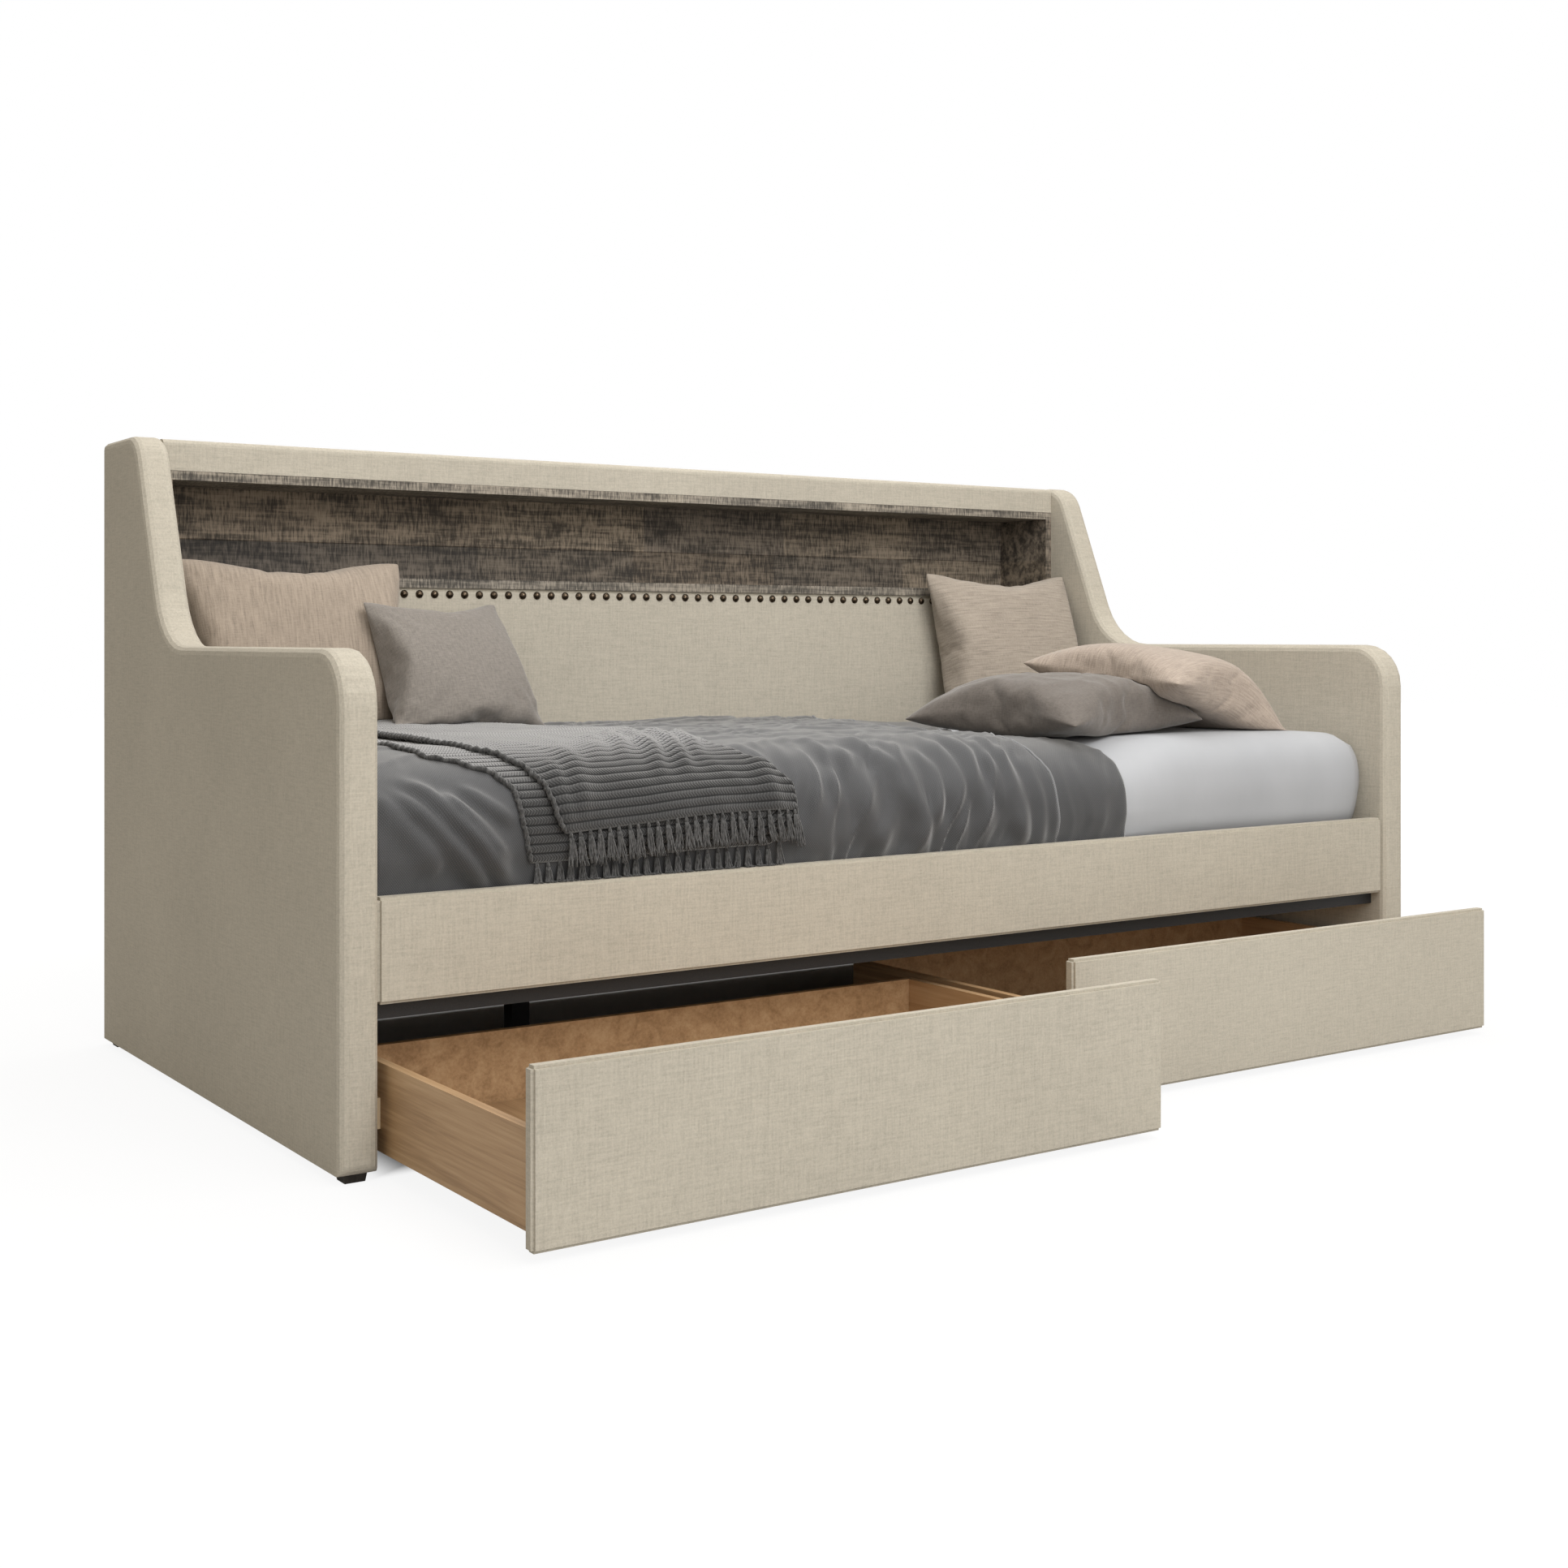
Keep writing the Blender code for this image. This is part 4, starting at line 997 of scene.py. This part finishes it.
def make_throw(duvet):
    """Ribbed knit folded once, its two edges and its fringed ends at the front."""
    blanket = Blanket(surface_tree(duvet))
    columns = []
    for kind, count, last in (("lower", 58, 0), ("fold", 6, 0), ("upper", 52, 1)):
        for step in range(count + last):
            columns.append(throw_column(blanket, kind, step / count))
    marks = []
    run = 0.0
    middle = throw_rows // 2
    for index, column in enumerate(columns):
        if index:
            run += math.dist(column[middle], columns[index - 1][middle])
        marks.append([(run, row / rib_steps) for row in range(len(column))])
    throw = grid_mesh("throw_dressed", columns, marks)
    add_modifier(throw, "SOLIDIFY", thickness=0.0016, offset=0)
    finish_piece(throw, knit_finish(), "grey_throw", "throw")
    yarn = yarn_finish()
    for name, column in (("throw_lower_hem", columns[0]), ("throw_upper_hem", columns[-1])):
        points = [(x - 0.0010, y, z + 0.0006) for x, y, z in column]
        hem = make_tube(name, points, radius=0.0034, twist=0.20, twist_pitch=0.0085)
        finish_piece(hem, yarn, "grey_throw")
    lower_roots = [columns[i][-1] for i in range(56)]
    upper_roots = [columns[i][-1] for i in range(len(columns) - 1, 60, -1)]
    fringes = [make_fringe("throw_lower_fringe", lower_roots, yarn, count=24, length=0.043),
               make_fringe("throw_upper_fringe", upper_roots, yarn, count=26, length=0.046,
                           stand=0.005)]
    return throw


def at_share(points, share):
    """Place at a share of the way through points."""
    place = share * (len(points) - 1)
    index = min(len(points) - 2, int(place))
    return Vector(points[index]).lerp(Vector(points[index + 1]), place - index)


def add_loft(bm, rings):
    """A body through rings of points, closed at both ends."""
    made = [[bm.verts.new(point) for point in ring] for ring in rings]
    for low, high in zip(made, made[1:]):
        for step in range(len(low)):
            after = (step + 1) % len(low)
            bm.faces.new((low[step], low[after], high[after], high[step])).smooth = True
    bm.faces.new(list(reversed(made[0])))
    bm.faces.new(made[-1])


def add_strand(bm, points, start_radius, end_radius):
    """A thin yarn through points."""
    last = len(points) - 1
    rings = []
    for index, point in enumerate(points):
        way = (points[min(last, index + 1)] - points[max(0, index - 1)]).normalized()
        side = way.cross(Vector((0, 1, 0))).normalized()
        front = side.cross(way)
        radius = start_radius + (end_radius - start_radius) * index / last
        rings.append([point + (side * math.cos(angle) + front * math.sin(angle)) * radius
                      for angle in (0, math.pi / 2, math.pi, 3 * math.pi / 2)])
    add_loft(bm, rings)


def add_knot(bm, points):
    """A small tied knot around the points."""
    sides = 6
    rings = []
    for index, point in enumerate(points):
        radius = 0.0008 + 0.0021 * math.sin(math.pi * index / (len(points) - 1)) ** 0.6
        rings.append([point + Vector((radius * math.cos(angle), 0.8 * radius * math.sin(angle), 0))
                      for angle in (2 * math.pi * step / sides for step in range(sides))])
    add_loft(bm, rings)


def make_fringe(name, roots, finish, count, length, stand=0.0):
    """A row of knotted tassels, each of seven yarns that part below the knot and lie on the rail."""
    bm = bmesh.new()
    for number in range(count):
        root = at_share(roots, (number + 0.5 + 0.22 * wander(number, 0, 0.7, 31.0)) / count)
        root = root + Vector((0, -0.0012 - stand * 0.2, 0.001))
        knot = []
        for share in (0, 0.2, 0.4, 0.6, 0.8, 1):
            knot.append(root + Vector((0, -0.0006 * math.sin(math.pi * share), -0.0095 * share)))
        add_knot(bm, knot)
        foot = knot[-2]
        sway = 0.0090 * wander(number, 1, 1.3, 33.0)
        grown = length * (1 + 0.12 * wander(number, 2, 0.9, 35.0))
        for yarn in range(7):
            fan = (yarn - 3) / 3
            chance = wander(number * 3.1, yarn * 2.3, 1.0, 37.0)
            depth = wander(number * 1.7, yarn * 4.1, 1.0, 39.0)
            points = []
            for step in range(7):
                share = step / 6
                curl = 0.0017 * math.sin(share * 6 + yarn * 2 + number)
                x = (0.0014 + 0.0050 * share ** 0.7) * fan + sway * share ** 2 + curl * share
                x += 0.0042 * chance * share
                y = -0.0012 - (0.0028 + stand) * share ** 0.8 - 0.0026 * depth * share
                z = -grown * share * (1 + 0.07 * chance) * 0.86
                place = foot + Vector((x, y, z))
                under = rail_top + 0.0016 - place.z
                if under > 0:
                    place.y -= under * 0.35
                    place.z = rail_top + 0.0012 + 0.0004 * share
                points.append(place)
            add_strand(bm, points, start_radius=0.0016, end_radius=0.0011)
    bmesh.ops.recalc_face_normals(bm, faces=bm.faces)
    fringe = add_piece(name, bm)
    finish_piece(fringe, finish, "grey_throw")
    return fringe


# Cushions

cushion_pitch = 0.008
fill_frames = 13
cloth_settings = {
    "quality": 5, "mass": 0.3, "tension_stiffness": 15, "compression_stiffness": 15,
    "shear_stiffness": 5, "bending_stiffness": 0.5, "use_pressure": True,
    "uniform_pressure_force": 4, "air_damping": 1,
}
back_wall = nails_low.y - 0.0005
arm_wall = -arm_high.x - 0.0008
down = (0, 0, -1)
backwards = (0, 1, 0)


def sew_cushion(name, width, height, hollow):
    """Two squares of cloth sewn together along all four edges, flat."""
    pitch = cushion_pitch
    across = round(width / pitch)
    up = round(height / pitch)
    bm = bmesh.new()
    layer = bm.loops.layers.uv.new("cloth")
    seams = None
    for sign in (-1, 1):
        rows = []
        for i in range(across + 1):
            row = []
            for j in range(up + 1):
                a = 2 * i / across - 1
                b = 2 * j / up - 1
                seam = i in (0, across) or j in (0, up)
                if sign == 1 and seam:
                    row.append(seams[i][j])
                    continue
                corner = 1 - 0.030 * (a * b) ** 8
                x = width / 2 * a * corner * (1 - hollow * (1 - b * b) * a * a)
                z = height / 2 * b * corner * (1 - hollow * (1 - a * a) * b * b)
                y = 0 if seam else sign * (0.001 + 0.005 * (1 - a * a) * (1 - b * b))
                row.append(bm.verts.new((x, y, z)))
            rows.append(row)
        if sign == -1:
            seams = rows
        for i in range(across):
            for j in range(up):
                quad = [(i, j), (i + 1, j), (i + 1, j + 1), (i, j + 1)]
                if sign == 1:
                    quad.reverse()
                face = bm.faces.new([rows[i][j] for i, j in quad])
                face.smooth = True
                for corner, (i2, j2) in zip(face.loops, quad):
                    corner[layer].uv = (i2 * pitch + (0.5 if sign == 1 else 0), j2 * pitch)
    return add_piece(name, bm)


def fill_cushion(cushion, width, height, thickness):
    """Blow the sewn cloth up by simulation, then bring it to its real size."""
    modifier = cushion.modifiers.new("cloth", "CLOTH")
    for name, value in cloth_settings.items():
        setattr(modifier.settings, name, value)
    modifier.settings.effector_weights.gravity = 0
    modifier.collision_settings.use_collision = False
    modifier.point_cache.frame_start = 1
    modifier.point_cache.frame_end = fill_frames
    for frame_number in range(1, fill_frames + 1):
        bpy.context.scene.frame_set(frame_number)
    apply_modifier(cushion, modifier)
    bpy.context.scene.frame_set(1)
    low, high = mesh_box(cushion)
    for axis, wanted in enumerate((width, thickness, height)):
        middle = (high[axis] + low[axis]) / 2
        grown = wanted / (high[axis] - low[axis])
        for vertex in cushion.data.vertices:
            vertex.co[axis] = (vertex.co[axis] - middle) * grown


def mesh_box(piece):
    low = Vector(min(v.co[k] for v in piece.data.vertices) for k in range(3))
    high = Vector(max(v.co[k] for v in piece.data.vertices) for k in range(3))
    return low, high


def put(cushion, centre, turn=0.0, lean=0.0):
    """Lean and turn a cushion, then bring it to its place."""
    turned = Matrix.Rotation(math.radians(turn), 4, "Z")
    leaned = Matrix.Rotation(-math.radians(lean), 4, "X")
    cushion.data.transform(Matrix.Translation(centre) @ turned @ leaned)


def crumple(cushion, height, scale, seed, weight):
    """Push a cushion's cloth in and out along its normals in soft creases."""
    vertices = cushion.data.vertices
    ways = [vertex.normal.copy() for vertex in vertices]
    for vertex, way in zip(vertices, ways):
        amount = weight(vertex.co)
        if amount > 0:
            ridged = 1 - abs(noise.noise(vertex.co / scale + Vector((seed, seed, seed))))
            vertex.co += way * height * amount * (ridged ** 3 - 0.5)


def droop(cushion, width, depth):
    """Let the corners of a cushion that will lie flat hang down."""
    for vertex in cushion.data.vertices:
        away = math.hypot(vertex.co.x, vertex.co.z) / (width / 2)
        vertex.co.y += depth * (away / math.sqrt(2)) ** 3


def slump(cushion, size, foot=1.0, head=1.0):
    """Let the filling of a standing cushion sink, so that its foot is fuller."""
    for vertex in cushion.data.vertices:
        share = vertex.co.z / size[1] + 0.5
        across = min(1.0, abs(2 * vertex.co.x / size[0]))
        vertex.co.x *= foot + (head - foot) * share
        vertex.co.y *= 1.14 - 0.28 * share
        vertex.co.z -= 0.017 * (1 - across ** 2) * (1 - smooth(share, 0.0, 0.5))


def bow(cushion, start_angle, end_angle):
    """Bend a lying cushion along its width, so that it goes over what is under it."""
    low, high = mesh_box(cushion)
    steps = 60
    width = high.x - low.x
    places = [(0.0, 0.0)]
    angles = []
    for step in range(steps):
        share = smooth((step + 0.5) / steps, 0.25, 0.90)
        angle = math.radians(start_angle + (end_angle - start_angle) * share)
        angles.append(angle)
        x, z = places[-1]
        places.append((x + width / steps * math.cos(angle), z - width / steps * math.sin(angle)))
    middle_x, middle_z = places[steps // 2]
    for vertex in cushion.data.vertices:
        place = (vertex.co.x - low.x) / width * steps
        index = min(steps - 1, int(place))
        (x1, z1), (x2, z2) = places[index], places[index + 1]
        x = x1 + (x2 - x1) * (place - index) - middle_x
        z = z1 + (z2 - z1) * (place - index) - middle_z
        angle = angles[index]
        rise = vertex.co.z
        vertex.co = (x + rise * math.sin(angle), vertex.co.y, z + rise * math.cos(angle))


def make_cushion(node, sewn, hollow, filled):
    """Sew a cushion and fill it to its width, height and thickness."""
    cushion = sew_cushion(node + "_dressed", *sewn, hollow)
    fill_cushion(cushion, *filled)
    return cushion


def make_back_cushion(bed, node, sewn, hollow, filled, centre, lean, side):
    """A cushion that stands against the back, beside the arm on its side."""
    cushion = make_cushion(node, sewn, hollow, filled)
    slump(cushion, filled)
    put(cushion, centre, lean=lean)
    settle(cushion, bed, down, 0.006)
    hold_back(cushion, 1, back_wall, 1, 0.006)
    hold_back(cushion, 0, side * arm_wall, side, 0.004)
    return cushion


def finish_cushion(cushion, finish, slot, node):
    add_modifier(cushion, "SUBSURF", levels=1, render_levels=1)
    finish_piece(cushion, finish, slot, node)


def make_cushions(mattress, duvet, throw):
    bed = surface_tree(mattress, duvet, throw)

    blush = make_back_cushion(bed, "cushion_blush_back", (0.390, 0.325), 0.015,
                              (0.388, 0.322, 0.135), (-0.759, 0.540, 0.668),
                              lean=12, side=-1)
    finish = slub_finish("blush_slub_cloth", (0.350, 0.288, 0.230), pitch=0.0036, run=0.045,
                         upright=True)
    finish_cushion(blush, finish, "blush_slub", "cushion_blush_back")

    cream = make_back_cushion(bed, "cushion_cream_back", (0.390, 0.345), 0.045,
                              (0.385, 0.342, 0.135), (0.778, 0.515, 0.664),
                              lean=15, side=1)
    finish = slub_finish("cream_slub_cloth", (0.340, 0.292, 0.241), pitch=0.0036, run=0.050)
    finish_cushion(cream, finish, "cream_slub", "cushion_cream_back")

    size = (0.316, 0.258, 0.115)
    grey = make_cushion("cushion_grey_front", (0.320, 0.262), 0.060, size)
    slump(grey, size, foot=1.06, head=0.92)
    put(grey, (-0.514, 0.464, 0.640), turn=16, lean=27)
    crumple(grey, height=0.0075, scale=0.034, seed=3.0,
            weight=lambda co: 1 - smooth(co.z, throw_top, throw_top + 0.075))
    settle(grey, surface_tree(blush), backwards, 0.006)
    settle(grey, bed, down, 0.005)
    finish = weave_finish("grey_weave_cloth", (0.224, 0.202, 0.180))
    finish_cushion(grey, finish, "grey_weave", "cushion_grey_front")

    sewn = (0.390, 0.390)
    size = (0.388, 0.388, 0.118)
    flat = make_cushion("cushion_grey_flat", sewn, 0.060, size)
    crumple(flat, height=0.0050, scale=0.050, seed=7.0,
            weight=lambda co: 1 - smooth(abs(co.x) + abs(co.z), 0.18, 0.36))
    droop(flat, size[0], depth=0.027)
    put(flat, (0.430, -0.034, 0.570), turn=11.6, lean=90)
    settle(flat, bed, down, 0.010)
    finish = weave_finish("charcoal_weave_cloth", (0.140, 0.122, 0.107))
    finish_cushion(flat, finish, "charcoal_weave", "cushion_grey_flat")

    tilted = make_cushion("cushion_blush_tilted", sewn, 0.060, size)
    put(tilted, (0, 0, 0), lean=85)
    bow(tilted, start_angle=3, end_angle=46)
    put(tilted, (0.697, -0.045, 0.610), turn=5.6)
    settle(tilted, surface_tree(mattress, flat), down, 0.008)
    settle(tilted, surface_tree(cream), backwards, 0.006)
    hold_back(tilted, 0, arm_wall, 1, 0.004)
    finish = slub_finish("blush_weave_cloth", (0.378, 0.311, 0.257), pitch=0.0034, run=0.035)
    finish_cushion(tilted, finish, "blush_weave", "cushion_blush_tilted")


# Nail heads

def close_back(piece):
    """Close a cut that faces the back by one face, its corners always in the same order."""
    mesh = bmesh.new()
    mesh.from_mesh(piece.data)
    rim = [vertex for vertex in mesh.verts if vertex.is_boundary]
    rim.sort(key=lambda vertex: math.atan2(vertex.co.z, vertex.co.x), reverse=True)
    mesh.faces.new(rim)
    mesh.to_mesh(piece.data)
    mesh.free()


def make_nails():
    """Domed upholstery nails in a row: one is modelled and repeated."""
    count = 65
    dome_height = 0.0057
    radius = (nails_high.z - nails_low.z) / 2 + 0.0006
    first = (nails_low.x + radius, 0, (nails_high.z + nails_low.z) / 2)
    pitch = (nails_high.x - nails_low.x - 2 * radius) / (count - 1)
    bpy.ops.object.select_all(action="DESELECT")
    bpy.ops.mesh.primitive_uv_sphere_add(segments=16, ring_count=10, radius=radius,
                                         location=(0, 0, 0), rotation=(math.pi / 2, 0, 0))
    nails = bpy.context.object
    nails.name = "nail_heads"
    bpy.ops.object.transform_apply(location=True, rotation=True, scale=True)
    bpy.ops.object.mode_set(mode="EDIT")
    bpy.ops.mesh.select_all(action="SELECT")
    bpy.ops.mesh.bisect(plane_co=(0, -radius * 0.30, 0), plane_no=(0, 1, 0), clear_outer=True)
    bpy.ops.object.mode_set(mode="OBJECT")
    close_back(nails)
    low, high = mesh_box(nails)
    for vertex in nails.data.vertices:
        share = (high.y - vertex.co.y) / (high.y - low.y)
        vertex.co.y = nails_high.y - dome_height * share
    nails.data.polygons.foreach_set("use_smooth", [True] * len(nails.data.polygons))
    grown = 2 * radius / (high.x - low.x)
    nails.data.transform(Matrix.Translation(first) @ Matrix.Diagonal((grown, 1, grown, 1)))
    add_modifier(nails, "ARRAY", count=count, use_relative_offset=False,
                 use_constant_offset=True, constant_offset_displace=(pitch, 0, 0))
    finish_piece(nails, bronze_finish(), "antique_bronze", "nail_trim")


bpy.context.scene.view_settings.view_transform = "Standard"
make_world()
make_floor()
place_camera()
place_lamp("key_lamp", (-0.3, arm_middle_y - 4.3, 4.0), (0, arm_middle_y, 0.4), 2.6, 106)
place_lamp("fill_lamp", (-2.1, arm_middle_y - 6.4, 2.2), (0, arm_middle_y, 0.5), 2.6, 80)
place_lamp("back_lamp", (0.1, arm_middle_y - 1.3, 2.0), (-0.2, pad_front, 0.7), 1.4, 15)
place_lamp("top_lamp", (0.2, arm_middle_y + 0.9, 3.6), (0, arm_middle_y, 0.4), 2.6, 60)
finish_construction()
make_nails()
mattress = make_mattress()
duvet, duvet_lines = make_duvet()
make_piping(duvet_lines)
throw = make_throw(duvet)
make_cushions(mattress, duvet, throw)
